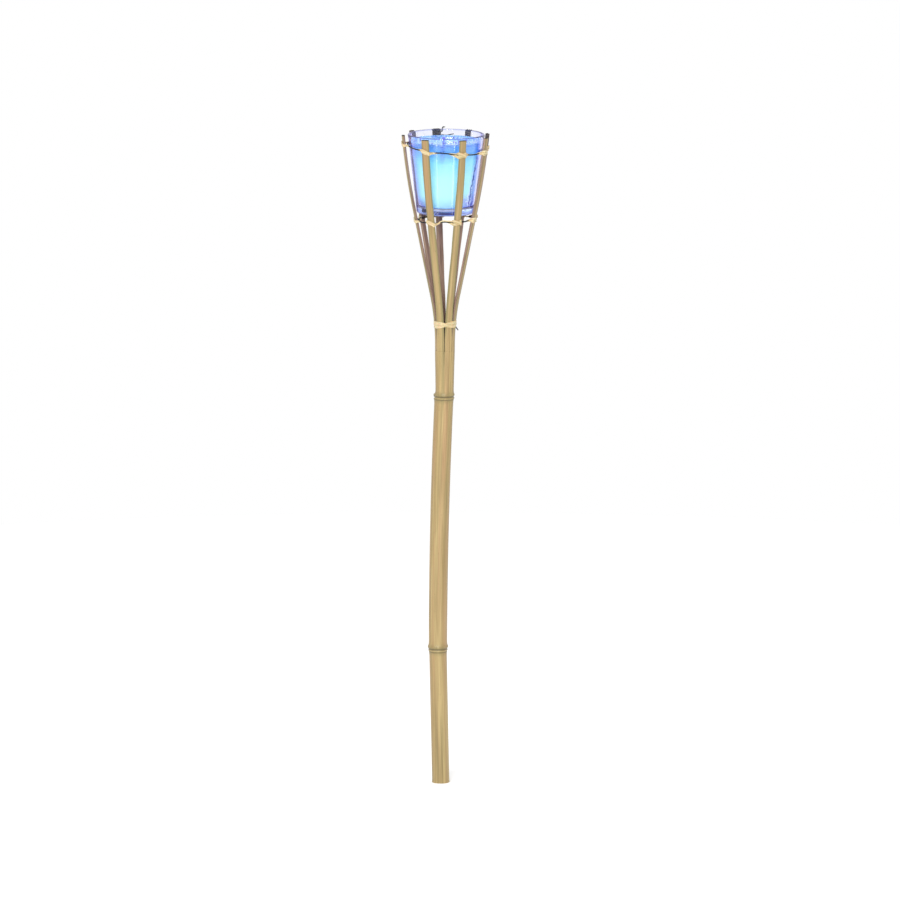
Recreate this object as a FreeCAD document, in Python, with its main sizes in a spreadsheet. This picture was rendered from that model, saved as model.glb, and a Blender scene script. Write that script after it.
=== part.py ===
"""Bamboo garden torch with a gel candle.

One bamboo cane stands in the ground.  Its top internode is split into eight splints, which are
bound at the root, spread, and woven together by two rings, so that they make an open basket.  A
tapered glass tumbler filled with candle gel sits in the basket and lifts straight out of it.

Lengths are millimetres and angles are degrees.  The origin is on the cane's axis at ground level,
+Z is up and -Y is the front.  Azimuths run from the front towards +X.
"""
import FreeCAD
import Part
import Sketcher
import math
import os
from FreeCAD import Placement, Rotation, Vector

# ------------------------------------------------------------------------------------------------
# Sizes: name, value, what it measures
# ------------------------------------------------------------------------------------------------
CANE_SIZES = [
    ("buried_length", 190.0, "cane below the ground line"),
    ("point_cut_length", 34.0, "height of the slanting cut that points the cane"),
    ("lower_radius", 8.75, "outside radius of the lowest internode"),
    ("lower_lean", 1.18, "lean of the lowest internode towards -X"),
    ("low_node_height", 135.4, "lower node above the ground"),
    ("high_node_height", 390.9, "upper node above the ground"),
    ("high_node_offset", 3.3, "upper node's place along X"),
    ("bow_depth", 1.4, "bow of the middle internode towards -X"),
    ("waist_radius", 9.15, "middle internode's radius just above the lower node"),
    ("shoulder_radius", 9.55, "middle internode's radius just below the upper node"),
    ("split_height", 439.0, "root of the splints above the ground"),
    ("split_offset", 4.2, "root of the splints along X"),
    ("split_radius", 9.9, "cane's radius at the root of the splints"),
    ("culm_wall", 3.2, "wall of the hollow cane"),
    ("septum_thickness", 3.0, "solid wall across the cane at a node"),
    ("scar_height", 0.7, "sheath scar standing proud at a node"),
    ("ridge_height", 1.0, "rounded ridge standing proud above the scar"),
    ("ridge_rise", 3.4, "ridge above the sheath scar"),
    ("swelling_fade", 3.6, "height over which a node swells and fades"),
]
BASKET_SIZES = [
    ("head_lean", 0.34, "lean of the basket towards +X"),
    ("splint_thickness", 3.2, "radial thickness of a splint"),
    ("slit_width", 0.12, "saw slit between neighbouring splints at their root"),
    ("root_straight", 5.0, "straight run of a splint above its root"),
    ("root_bend", 245.0, "radius of the bend that spreads a splint"),
    ("seat_run", 2.2, "straight run of a splint past the seat of the glass"),
    ("seat_height", 138.8, "underside of the glass above the splint root"),
    ("seat_clearance", 0.35, "gap between the glass and the splints at its base"),
    ("glass_gap", 0.35, "gap between the glass and the upper twine hoop"),
    ("twine_radius", 0.6, "radius of the dark twine"),
    ("hoop_inset", 0.1, "gap between the lower twine hoop and the splints"),
    ("hoop_play", 0.62, "gap between the upper hoop and the splints at its lowest point"),
    ("tip_clearance", 1.9, "least gap between the glass's rim and the splints, for the knot"),
    ("upper_ring_drop", 13.2, "centre of the upper woven ring below the rim of the glass"),
    ("upper_ring_rise", 3.5, "upper ring's highest point above its centre"),
    ("upper_ring_azimuth", 235.0, "direction in which the upper ring is highest"),
    ("lower_ring_drop", 6.4, "centre of the lower woven ring below the underside of the glass"),
    ("lower_ring_rise", 1.2, "lower ring's highest point above its centre"),
    ("lower_ring_azimuth", 95.0, "direction in which the lower ring is highest"),
    ("raffia_width", 4.2, "width of the raffia strip in the rings"),
    ("raffia_thickness", 0.5, "thickness of the raffia strip"),
    ("raffia_slack", 0.32, "gap between a raffia strip and the splints' faces"),
    ("collar_height", 26.9, "middle of the collar above the splint root"),
    ("collar_width", 7.4, "height of the collar binding"),
    ("collar_thickness", 0.7, "thickness of the collar binding"),
    ("knot_turns", 5.0, "turns of twine round the splint that carries the knot"),
    ("knot_pitch", 1.25, "rise from one turn of the knot to the next"),
    ("knot_drop", 1.5, "top turn of the knot below the tip of its splint"),
    ("winding_skin", 0.02, "gap between wound twine and what it is wound on"),
    ("collar_skin", 0.08, "gap between the collar binding and the splints"),
    ("stub_azimuth", 75.0, "direction in which the collar's twine end sticks out"),
    ("stub_slope", 50.0, "slope of that end below the level"),
    ("stub_length", 4.6, "length of the collar's loose twine end"),
    ("stub_tip_radius", 0.35, "radius of that end at its frayed tip"),
]
CANDLE_SIZES = [
    ("rim_radius", 38.5, "outside radius of the glass at its rim"),
    ("base_radius", 28.75, "outside radius of the glass at its base"),
    ("glass_height", 79.3, "height of the glass"),
    ("glass_wall", 2.4, "wall of the glass, measured level"),
    ("glass_floor", 6.0, "thickness of the glass at its base"),
    ("base_corner", 2.6, "rounding of the outer bottom corner"),
    ("floor_corner", 4.5, "rounding of the inner bottom corner"),
    ("rim_rounding", 1.0, "rounding of the fire-polished rim"),
    ("fill_drop", 7.0, "surface of the gel below the rim"),
    ("wick_offset", 2.4, "wick off the glass's axis towards -X"),
    ("wick_radius", 1.75, "radius of the braided wick"),
    ("wick_proud", 3.4, "wick above the surface of the gel"),
    ("sustainer_radius", 7.5, "radius of the wick sustainer's disc"),
    ("sustainer_thickness", 0.5, "sheet thickness of the sustainer"),
    ("sustainer_neck", 7.0, "height of the sustainer with its neck"),
]

# Splint name, azimuth it leans to, azimuth of the slit before it, its tip below the glass's rim
SPLINTS = [
    ("front_right", 23.0, -3.0, 1.3),
    ("right_front", 68.0, 45.5, 1.7),
    ("right_back", 105.0, 88.0, 1.1),
    ("back_right", 148.0, 129.0, 0.6),
    ("back_left", 193.0, 172.0, 0.3),
    ("left_back", 233.0, 214.0, 0.1),
    ("left_side", 270.0, 255.0, 1.5),
    ("front_left", 331.0, 304.0, 1.3),
]
KNOT_SPLINT = "back_left"
KNOT_GAP = 0.1

# Loose ends of the knot: degrees past its side, then millimetres outside the splint's inner face
# and above its tip, for each corner of the twine
KNOT_ENDS = {
    "knot_curl": [(0.0, 1.2, -3.2), (1.0, 1.6, -1.2), (0.4, 1.6, 0.9), (4.0, 1.0, 1.4)],
    "knot_tail": [(0.0, 0.4, -6.6), (6.0, 0.2, -7.2), (16.3, -0.4, -5.2)],
}
LOFT_STEPS = 4

doc = FreeCAD.newDocument("GardenTorch")
sheet = doc.addObject("Spreadsheet::Sheet", "Sizes")


def fill_sheet():
    """Write every size into the sheet, one row each, and name its cell."""
    rows = CANE_SIZES + BASKET_SIZES + CANDLE_SIZES
    for name, azimuth, slit, tip in SPLINTS:
        rows.append((f"azimuth_{name}", azimuth, f"direction in which splint {name} leans"))
        rows.append((f"slit_{name}", slit, f"direction of the slit before splint {name}"))
        rows.append((f"tip_drop_{name}", tip, f"tip of splint {name} below the glass's rim"))
    for row, (alias, value, note) in enumerate(rows, start=1):
        sheet.set(f"A{row}", alias)
        sheet.set(f"B{row}", str(value))
        sheet.set(f"C{row}", note)
        sheet.setAlias(f"B{row}", alias)
    doc.recompute()


def size(expression):
    """Value of a sheet alias, or of an expression of Sizes aliases."""
    if "Sizes." not in expression:
        expression = f"Sizes.{expression}"
    found = sheet.evalExpression(expression)
    return float(getattr(found, "Value", found))


fill_sheet()

# Sizes that follow from the ones in the sheet
GLASS_TAPER = "((Sizes.rim_radius - Sizes.base_radius) / Sizes.glass_height)"
RIM_HEIGHT = "(Sizes.seat_height + Sizes.glass_height)"
UPPER_RING = f"({RIM_HEIGHT} - Sizes.upper_ring_drop)"
LOWER_RING = "(Sizes.seat_height - Sizes.lower_ring_drop)"
RING_HEIGHTS = {"upper": UPPER_RING, "lower": LOWER_RING}

# A splint bends out from its root so that its straight run just clears the base of the glass
ROOT_INNER = "(Sizes.split_radius - Sizes.splint_thickness)"
SEAT_RADIUS = "(Sizes.base_radius + Sizes.seat_clearance)"
BENT_RISE = "(Sizes.seat_height - Sizes.root_straight)"
BENT_GAIN = f"({SEAT_RADIUS} - {ROOT_INNER})"
FLARE = (
    f"(asin(Sizes.root_bend / hypot({BENT_RISE}, Sizes.root_bend - {BENT_GAIN}))"
    f" - atan2(Sizes.root_bend - {BENT_GAIN}, {BENT_RISE}))"
)

# From there it bends again, so that the upper hoop fits between it and the glass
FLARE_END = "(Sizes.seat_height + Sizes.seat_run)"
FLARE_END_RADIUS = f"({SEAT_RADIUS} + Sizes.seat_run * tan({FLARE}))"
HOOP_TOP = f"({UPPER_RING} + Sizes.upper_ring_rise)"
HOOP_RADIUS = (
    f"(Sizes.base_radius + ({HOOP_TOP} - Sizes.seat_height) * {GLASS_TAPER}"
    f" + Sizes.glass_gap + Sizes.twine_radius)"
)


def bend_through(rise, gain):
    """Expression for the radius of the upper bend that gains a radius over a rise."""
    return (
        f"(({gain} ^ 2 + {rise} ^ 2) / (2 * ({rise} * sin({FLARE}) - {gain} * cos({FLARE}))))"
    )


HOOP_RISE = f"({UPPER_RING} - Sizes.upper_ring_rise - {FLARE_END})"
HOOP_GAIN = f"({HOOP_RADIUS} + Sizes.twine_radius + Sizes.hoop_play - {FLARE_END_RADIUS})"
TIP_RISE = f"({RIM_HEIGHT} - {FLARE_END})"
TIP_GAIN = f"(Sizes.rim_radius + Sizes.tip_clearance - {FLARE_END_RADIUS})"
TOP_BEND = f"max({bend_through(HOOP_RISE, HOOP_GAIN)}; {bend_through(TIP_RISE, TIP_GAIN)})"
FLOOR_RADIUS = f"(Sizes.base_radius + Sizes.glass_floor * {GLASS_TAPER} - Sizes.glass_wall)"
FILL_LEVEL = "(Sizes.glass_height - Sizes.fill_drop)"
FILL_RADIUS = f"(Sizes.base_radius + {FILL_LEVEL} * {GLASS_TAPER} - Sizes.glass_wall)"
NECK_RADIUS = "(Sizes.wick_radius + Sizes.sustainer_thickness)"


# ------------------------------------------------------------------------------------------------
# Places
# ------------------------------------------------------------------------------------------------
def head_frame():
    """Placement of the basket: its origin is the root of the splints."""
    root = Vector(size("split_offset"), 0, size("split_height"))
    return Placement(root, Rotation(Vector(0, 1, 0), size("head_lean")))


def facing(azimuth):
    """Turn about the basket's axis that brings local +X to an azimuth."""
    return Placement(Vector(), Rotation(Vector(0, 0, 1), azimuth - 90.0))


def outward(azimuth):
    """Unit vector of an azimuth in the basket's frame."""
    turn = math.radians(azimuth)
    return Vector(math.sin(turn), -math.cos(turn), 0)


def face_radius(height):
    """Distance from the basket's axis to a splint's inner face at a height above the root."""
    flare = math.radians(size(FLARE))
    bend = size("root_bend")
    inner = size(ROOT_INNER)
    rise = height - size("root_straight")
    if rise <= 0:
        return inner
    bend_rise = bend * math.sin(flare)
    if rise <= bend_rise:
        return inner + bend - math.sqrt(bend ** 2 - rise ** 2)
    if height <= size(FLARE_END):
        return inner + bend * (1 - math.cos(flare)) + (rise - bend_rise) * math.tan(flare)
    top_bend = size(TOP_BEND)
    centre_radius = size(FLARE_END_RADIUS) - top_bend * math.cos(flare)
    below_centre = size(FLARE_END) + top_bend * math.sin(flare) - height
    return centre_radius + math.copysign(math.sqrt(top_bend ** 2 - below_centre ** 2), top_bend)


def face_lean(height):
    """Lean of a splint's inner face at a height above the root."""
    step = 0.5
    gain = face_radius(height + step) - face_radius(height - step)
    return math.degrees(math.atan2(gain, 2 * step))


def outer_radius(height):
    """Distance from the basket's axis to a splint's outer face at a height above the root."""
    return face_radius(height) + size("splint_thickness") / math.cos(math.radians(face_lean(height)))


def tip_height(name):
    """Expression for the height of a splint's tip above its root."""
    return f"({RIM_HEIGHT} - Sizes.tip_drop_{name})"


def sector(index):
    """First and last azimuth of the cane's wall that splint number index takes."""
    half_slit = math.degrees(size("slit_width") / 2 / size("split_radius"))
    first = size(f"slit_{SPLINTS[index][0]}")
    last = size(f"slit_{SPLINTS[(index + 1) % len(SPLINTS)][0]}")
    if last < first:
        last += 360.0
    return first + half_slit, last - half_slit


# ------------------------------------------------------------------------------------------------
# Sketch helpers
# ------------------------------------------------------------------------------------------------
def new_body(label):
    """Empty PartDesign body with a label of its own."""
    body = doc.addObject("PartDesign::Body", label)
    body.Label = label
    return body


def new_sketch(body, name, plane, offset=Placement()):
    """Sketch on one of the body's own origin planes, moved by offset within that plane."""
    sketch = body.newObject("Sketcher::SketchObject", name)
    support = [item for item in body.Origin.OriginFeatures if item.Role == plane][0]
    sketch.AttachmentSupport = (support, "")
    sketch.MapMode = "FlatFace"
    sketch.AttachmentOffset = offset
    return sketch


def bind(sketch, kind, places, expression):
    """Add a constraint whose value follows an expression of the sheet."""
    value = size(expression)
    if kind == "Angle":
        value = math.radians(value)
    number = sketch.addConstraint(Sketcher.Constraint(kind, *places, value))
    sketch.setExpression(f"Constraints[{number}]", expression)


def add_outline(sketch, corners):
    """Closed outline of straight edges through corners given as pairs of expressions.

    A corner whose expression is "0" lies on the sketch's axis.
    """
    points = [Vector(0 if x == "0" else size(x), 0 if y == "0" else size(y), 0) for x, y in corners]
    for start, end in zip(points, points[1:] + points[:1]):
        sketch.addGeometry(Part.LineSegment(start, end), False)
    for edge in range(len(points)):
        following = (edge + 1) % len(points)
        sketch.addConstraint(Sketcher.Constraint("Coincident", edge, 2, following, 1))
    for edge, (x, y) in enumerate(corners):
        if x == "0":
            sketch.addConstraint(Sketcher.Constraint("PointOnObject", edge, 1, -2))
        else:
            bind(sketch, "DistanceX", (-1, 1, edge, 1), x)
        if y == "0":
            sketch.addConstraint(Sketcher.Constraint("PointOnObject", edge, 1, -1))
        else:
            bind(sketch, "DistanceY", (-1, 1, edge, 1), y)


def turn_outline(body, name, kind, corners, offset=Placement()):
    """Revolution or Groove of an outline about the vertical axis of its own sketch."""
    sketch = new_sketch(body, f"{name}Outline", "XZ_Plane", offset)
    add_outline(sketch, corners)
    doc.recompute()
    before = body.Shape.Volume if kind == "PartDesign::Groove" else 0.0
    feature = body.newObject(kind, name)
    feature.Profile = sketch
    feature.ReferenceAxis = (sketch, ["V_Axis"])
    feature.Angle = 360.0
    sketch.Visibility = False
    doc.recompute()
    if kind == "PartDesign::Groove" and body.Shape.Volume >= before:
        raise RuntimeError(f"{name} cuts nothing")
    return feature


def round_edges(body, name, rings, radius):
    """Fillet the circular edges that lie at given (radius, height) pairs of the body."""
    base = body.Tip
    found = []
    for number, edge in enumerate(base.Shape.Edges, start=1):
        if not isinstance(edge.Curve, Part.Circle):
            continue
        for ring_radius, ring_height in rings:
            near_radius = abs(edge.Curve.Radius - ring_radius) < 0.01
            near_height = abs(edge.Curve.Center.z - ring_height) < 0.01
            if near_radius and near_height:
                found.append(f"Edge{number}")
    if len(found) != len(rings):
        raise RuntimeError(f"{name} found {len(found)} of {len(rings)} edges")
    fillet = body.newObject("PartDesign::Fillet", name)
    fillet.Base = (base, found)
    fillet.setExpression("Radius", radius)
    doc.recompute()


# ------------------------------------------------------------------------------------------------
# Cane
# ------------------------------------------------------------------------------------------------
def cane_section(step):
    """Expressions for height, X place and radius of one section above the lower node.

    Sections 0 to LOFT_STEPS share out the bowed middle internode, and one more is the splint root.
    """
    low_offset = "(-Sizes.low_node_height * tan(Sizes.lower_lean))"
    if step > LOFT_STEPS:
        return "Sizes.split_height", "Sizes.split_offset", "Sizes.split_radius"
    share = f"({step} / {LOFT_STEPS})"
    height = f"Sizes.low_node_height + (Sizes.high_node_height - Sizes.low_node_height) * {share}"
    place = f"{low_offset} + (Sizes.high_node_offset - {low_offset}) * {share}"
    bow = f"4 * Sizes.bow_depth * {share} * (1 - {share})"
    radius = f"Sizes.waist_radius + (Sizes.shoulder_radius - Sizes.waist_radius) * {share}"
    return height, f"{place} - {bow}", radius


def add_culm_loft(body, name, kind, inset):
    """Loft through round sections that follow the cane above its lower node."""
    sections = []
    for step in range(LOFT_STEPS + 2):
        height, place, radius = cane_section(step)
        tip = size("head_lean") if step > LOFT_STEPS else 0.0
        level = Placement(Vector(), Rotation(Vector(0, 1, 0), tip))
        sketch = new_sketch(body, f"{name}{step}", "XY_Plane", level)
        sketch.setExpression("AttachmentOffset.Base.x", place)
        sketch.setExpression("AttachmentOffset.Base.z", height)
        sketch.addGeometry(Part.Circle(Vector(), Vector(0, 0, 1), size(f"{radius} - {inset}")), False)
        sketch.addConstraint(Sketcher.Constraint("Coincident", 0, 3, -1, 1))
        bind(sketch, "Radius", (0,), f"{radius} - {inset}")
        sections.append(sketch)
    loft = body.newObject(kind, name)
    loft.Profile = sections[0]
    loft.Sections = sections[1:]
    doc.recompute()


def add_node(body, name, place, height, radius, lean):
    """Swollen node: a sheath scar, a rounded ridge above it and the septum inside."""
    offset = Placement(Vector(place, height, 0), Rotation(Vector(0, 0, 1), lean))
    half_septum = "Sizes.septum_thickness / 2"
    inside = f"({radius} - Sizes.culm_wall / 2)"
    fade_top = "(Sizes.ridge_rise + Sizes.swelling_fade)"
    turn_outline(body, name, "PartDesign::Revolution", [
        ("0", f"-{half_septum}"),
        (inside, f"-{half_septum}"),
        (inside, "-Sizes.swelling_fade"),
        (radius, "-Sizes.swelling_fade"),
        (f"{radius} + Sizes.scar_height", "-Sizes.scar_height"),
        (f"{radius} + Sizes.scar_height", "0"),
        (f"{radius} + Sizes.scar_height / 3", "Sizes.scar_height * 2"),
        (f"{radius} + Sizes.ridge_height", "Sizes.ridge_rise"),
        (radius, fade_top),
        (inside, fade_top),
        (inside, half_septum),
        ("0", half_septum),
    ], offset)


def build_cane():
    """Bamboo cane: pointed lower internode, bowed middle internode and the stub below the split."""
    body = new_body("bamboo_cane")
    lean = size("lower_lean")
    bore = "(Sizes.lower_radius - Sizes.culm_wall)"
    tube_top = "(Sizes.low_node_height + Sizes.septum_thickness / 4)"
    turn_outline(body, "LowerInternode", "PartDesign::Revolution", [
        (bore, "-Sizes.buried_length"),
        ("Sizes.lower_radius", "-Sizes.buried_length"),
        ("Sizes.lower_radius", tube_top),
        (bore, tube_top),
    ], Placement(Vector(), Rotation(Vector(0, 0, 1), lean)))
    add_culm_loft(body, "Culm", "PartDesign::AdditiveLoft", "0")
    add_culm_loft(body, "Bore", "PartDesign::SubtractiveLoft", "Sizes.culm_wall")

    low_place = -size("low_node_height") * math.tan(math.radians(lean))
    add_node(body, "LowNode", low_place, size("low_node_height"), "Sizes.waist_radius", lean)
    rise = size("split_height") - size("high_node_height")
    shift = size("split_offset") - size("high_node_offset")
    upper_lean = -math.degrees(math.atan2(shift, rise))
    add_node(body, "HighNode", size("high_node_offset"), size("high_node_height"),
             "Sizes.shoulder_radius", upper_lean)

    leaning = Placement(Vector(), Rotation(Vector(0, 0, 1), lean))
    point = new_sketch(body, "PointOutline", "XZ_Plane", leaning)
    bottom = "-(Sizes.buried_length + 1)"
    reach = "(Sizes.lower_radius + 1)"
    add_outline(point, [
        (f"-{reach}", bottom),
        (reach, bottom),
        (reach, "-(Sizes.buried_length - Sizes.point_cut_length)"),
    ])
    doc.recompute()
    before = body.Shape.Volume
    pocket = body.newObject("PartDesign::Pocket", "PointCut")
    pocket.Profile = point
    pocket.Type = "ThroughAll"
    pocket.Midplane = True
    doc.recompute()
    if body.Shape.Volume >= before:
        raise RuntimeError("the point cut removes nothing")
    return body


# ------------------------------------------------------------------------------------------------
# Basket
# ------------------------------------------------------------------------------------------------
def add_splint_section(body, first, last):
    """Sector of the cane's wall with a flat inner face, between two angles from local +X."""
    sketch = new_sketch(body, "Section", "XY_Plane")
    outer = size("split_radius")
    inner = size(ROOT_INNER)
    low, high = math.radians(first), math.radians(last)
    arc = Part.ArcOfCircle(Part.Circle(Vector(), Vector(0, 0, 1), outer), low, high)
    low_outer = Vector(outer * math.cos(low), outer * math.sin(low), 0)
    high_outer = Vector(outer * math.cos(high), outer * math.sin(high), 0)
    low_inner = Vector(inner, inner * math.tan(low), 0)
    high_inner = Vector(inner, inner * math.tan(high), 0)
    sketch.addGeometry([
        arc,
        Part.LineSegment(low_inner, low_outer),
        Part.LineSegment(high_inner, high_outer),
        Part.LineSegment(low_inner, high_inner),
    ], False)
    joints = [(0, 1, 1, 2), (0, 2, 2, 2), (3, 1, 1, 1), (3, 2, 2, 1), (0, 3, -1, 1)]
    for places in joints:
        sketch.addConstraint(Sketcher.Constraint("Coincident", *places))
    sketch.addConstraint(Sketcher.Constraint("PointOnObject", -1, 1, 1))
    sketch.addConstraint(Sketcher.Constraint("PointOnObject", -1, 1, 2))
    sketch.addConstraint(Sketcher.Constraint("Vertical", 3))
    sketch.addConstraint(Sketcher.Constraint("Angle", 1, low))
    sketch.addConstraint(Sketcher.Constraint("Angle", 2, high))
    bind(sketch, "Radius", (0,), "Sizes.split_radius")
    bind(sketch, "DistanceX", (-1, 1, 3, 1), ROOT_INNER)
    return sketch


def add_splint_path(body, tip):
    """Path of a splint's inner face: up, bent out, straight, and bent again up to its tip."""
    sketch = new_sketch(body, "Path", "XZ_Plane")
    flare = math.radians(size(FLARE))
    bend = size("root_bend")
    top_bend = size(TOP_BEND)
    start = Vector(size(ROOT_INNER), 0, 0)
    bend_start = start + Vector(0, size("root_straight"), 0)
    bend_centre = bend_start + Vector(bend, 0, 0)
    inward = Vector(-math.cos(flare), math.sin(flare), 0)
    bend_end = bend_centre + inward * bend
    run_end = Vector(size(FLARE_END_RADIUS), size(FLARE_END), 0)
    top_centre = run_end + inward * top_bend
    tip_angle = math.asin((size(tip) - top_centre.y) / top_bend)
    stands_up = top_bend > 0
    angles = (-flare, tip_angle) if stands_up else (math.pi + tip_angle, math.pi - flare)
    up = Vector(0, 0, 1)
    sketch.addGeometry([
        Part.LineSegment(start, bend_start),
        Part.ArcOfCircle(Part.Circle(bend_centre, up, bend), math.pi - flare, math.pi),
        Part.LineSegment(bend_end, run_end),
        Part.ArcOfCircle(Part.Circle(top_centre, up, abs(top_bend)), *angles),
    ], False)
    run_side, tip_side = (1, 2) if stands_up else (2, 1)
    sketch.addConstraint(Sketcher.Constraint("Vertical", 0))
    sketch.addConstraint(Sketcher.Constraint("PointOnObject", 0, 1, -1))
    for places in [(0, 2, 1, 2), (1, 1, 2, 1), (2, 2, 3, run_side)]:
        sketch.addConstraint(Sketcher.Constraint("Tangent", *places))
    bind(sketch, "DistanceX", (-1, 1, 0, 1), ROOT_INNER)
    bind(sketch, "DistanceY", (-1, 1, 0, 2), "Sizes.root_straight")
    bind(sketch, "Radius", (1,), "Sizes.root_bend")
    bind(sketch, "Angle", (2,), f"90 deg - {FLARE}")
    bind(sketch, "DistanceY", (-1, 1, 2, 2), FLARE_END)
    bind(sketch, "Radius", (3,), f"abs({TOP_BEND})")
    bind(sketch, "DistanceY", (-1, 1, 3, tip_side), tip)
    return sketch


def build_splint(index):
    """One of the eight strips that the cane's top internode is split into."""
    name = SPLINTS[index][0]
    azimuth = size(f"azimuth_{name}")
    first, last = sector(index)
    body = new_body(f"splint_{name}")
    section = add_splint_section(body, first - azimuth, last - azimuth)
    path = add_splint_path(body, tip_height(name))
    doc.recompute()
    strip = body.newObject("PartDesign::AdditivePipe", "Strip")
    strip.Profile = section
    strip.Spine = path
    body.Placement = head_frame() * facing(azimuth)
    doc.recompute()
    return body


def ring_frame(ring):
    """Placement of a woven ring's plane, which is tipped up towards one azimuth."""
    height = size(RING_HEIGHTS[ring])
    azimuth = size(f"{ring}_ring_azimuth")
    reach = outer_radius(height)
    tip = math.degrees(math.atan2(size(f"{ring}_ring_rise"), reach))
    hinge = outward(azimuth).cross(Vector(0, 0, 1))
    return head_frame() * Placement(Vector(0, 0, height), Rotation(hinge, tip))


def crossing_height(ring, azimuth):
    """Height above the splint root at which a woven ring crosses an azimuth."""
    swing = math.radians(azimuth - size(f"{ring}_ring_azimuth"))
    return size(RING_HEIGHTS[ring]) + size(f"{ring}_ring_rise") * math.cos(swing)


def build_hoop(ring, radius):
    """Dark twine hoop just inside the splints."""
    hoop = doc.addObject("Part::Torus", f"{ring}_ring_twine")
    hoop.Label = f"{ring}_ring_twine"
    hoop.Radius1 = radius
    hoop.setExpression("Radius2", "Sizes.twine_radius")
    hoop.Placement = ring_frame(ring)
    return hoop


def build_hoops():
    """Twine hoops: the upper one rides close round the glass, the lower one lines the splints."""
    low = size(LOWER_RING) - size("lower_ring_rise") - size("twine_radius")
    lower = face_radius(low) - size("hoop_inset") - size("twine_radius")
    return [build_hoop("upper", size(HOOP_RADIUS)), build_hoop("lower", lower)]


def add_feature(label, shape, place):
    """Document object for a shape that Part's own functions make."""
    feature = doc.addObject("Part::Feature", label)
    feature.Label = label
    feature.Shape = shape
    feature.Placement = place
    return feature


def build_weaver(ring):
    """Raffia strip drawn tight round the outside of all eight splints, like a belt."""
    reach = size("split_radius") + size("raffia_slack") + size("raffia_thickness") / 2
    half_width = size("raffia_width") / 2
    centres = []
    for name, *_ in SPLINTS:
        azimuth = size(f"azimuth_{name}")
        middle = crossing_height(ring, azimuth)
        crown = max(outer_radius(middle + edge) for edge in (-half_width, half_width))
        centres.append(outward(azimuth) * (crown - size("split_radius")))
    runs = []
    for here, there in zip(centres, centres[1:] + centres[:1]):
        along = (there - here).normalize()
        aside = along.cross(Vector(0, 0, 1)) * reach
        runs.append((here + aside, there + aside))
    edges = []
    for number, (start, end) in enumerate(runs):
        arrive = runs[number - 1][1]
        middle = centres[number] + ((arrive + start) / 2 - centres[number]).normalize() * reach
        edges.append(Part.Arc(arrive, middle, start).toShape())
        edges.append(Part.LineSegment(start, end).toShape())
    belt = Part.Wire(edges)
    half = size("raffia_thickness") / 2
    outside = Part.Face(belt.makeOffset2D(half))
    band = outside.cut(Part.Face(belt.makeOffset2D(-half)))
    drop = Vector(0, 0, -half_width)
    strip = band.translated(drop).extrude(Vector(0, 0, size("raffia_width")))
    return add_feature(f"{ring}_ring_raffia", strip.Solids[0], ring_frame(ring))


def build_collar():
    """Raffia binding that stops the split from running further down the cane."""
    half = size("collar_width") / 2
    low = outer_radius(size("collar_height") - half)
    high = outer_radius(size("collar_height") + half)
    body = new_body("collar_binding")
    sketch = new_sketch(body, "BandOutline", "XZ_Plane")
    skin = size("collar_skin")
    thickness = size("collar_thickness")
    corners = [
        Vector(low + skin, -half, 0),
        Vector(low + skin + thickness, -half, 0),
        Vector(high + skin + thickness, half, 0),
        Vector(high + skin, half, 0),
    ]
    for start, end in zip(corners, corners[1:] + corners[:1]):
        sketch.addGeometry(Part.LineSegment(start, end), False)
    band = body.newObject("PartDesign::Revolution", "Band")
    band.Profile = sketch
    band.ReferenceAxis = (sketch, ["V_Axis"])
    band.Angle = 360.0
    body.Placement = head_frame() * Placement(Vector(0, 0, size("collar_height")), Rotation())
    doc.recompute()
    return body


def build_collar_end():
    """Short twine end that sticks out below the collar on its right."""
    stub = doc.addObject("Part::Cone", "collar_twine_end")
    stub.Label = "collar_twine_end"
    stub.setExpression("Radius1", "Sizes.twine_radius")
    stub.setExpression("Radius2", "Sizes.stub_tip_radius")
    stub.setExpression("Height", "Sizes.stub_length")
    height = size("collar_height") - size("collar_width") / 2 + size("twine_radius")
    face = outer_radius(height) + size("collar_skin") + size("collar_thickness")
    edge = size("twine_radius") * math.sin(math.radians(size("stub_slope")))
    place = Vector(face + edge + size("winding_skin"), 0, height)
    slope = Placement(place, Rotation(Vector(0, 1, 0), 90.0 + size("stub_slope")))
    stub.Placement = head_frame() * facing(size("stub_azimuth")) * slope
    return stub


def twine_tube(points):
    """Twine along straight runs joined by tangent arcs, each as large as its two runs allow."""
    edges = []
    place = points[0]
    for before, corner, after in zip(points, points[1:], points[2:]):
        shorter = min((corner - before).Length, (after - corner).Length)
        cut = 0.45 * shorter
        arrive = corner + (before - corner).normalize() * cut
        leave = corner + (after - corner).normalize() * cut
        turn = (corner - before).getAngle(after - corner)
        radius = cut / math.tan(turn / 2)
        bisector = ((before - corner).normalize() + (after - corner).normalize()).normalize()
        centre = corner + bisector * math.hypot(radius, cut)
        edges.append(Part.LineSegment(place, arrive).toShape())
        edges.append(Part.Arc(arrive, centre - bisector * radius, leave).toShape())
        place = leave
    edges.append(Part.LineSegment(place, points[-1]).toShape())
    path = Part.Wire(edges)
    ring = Part.Wire(Part.makeCircle(size("twine_radius"), points[0], points[1] - points[0]))
    return path.makePipeShell([ring], True, False)


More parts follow.
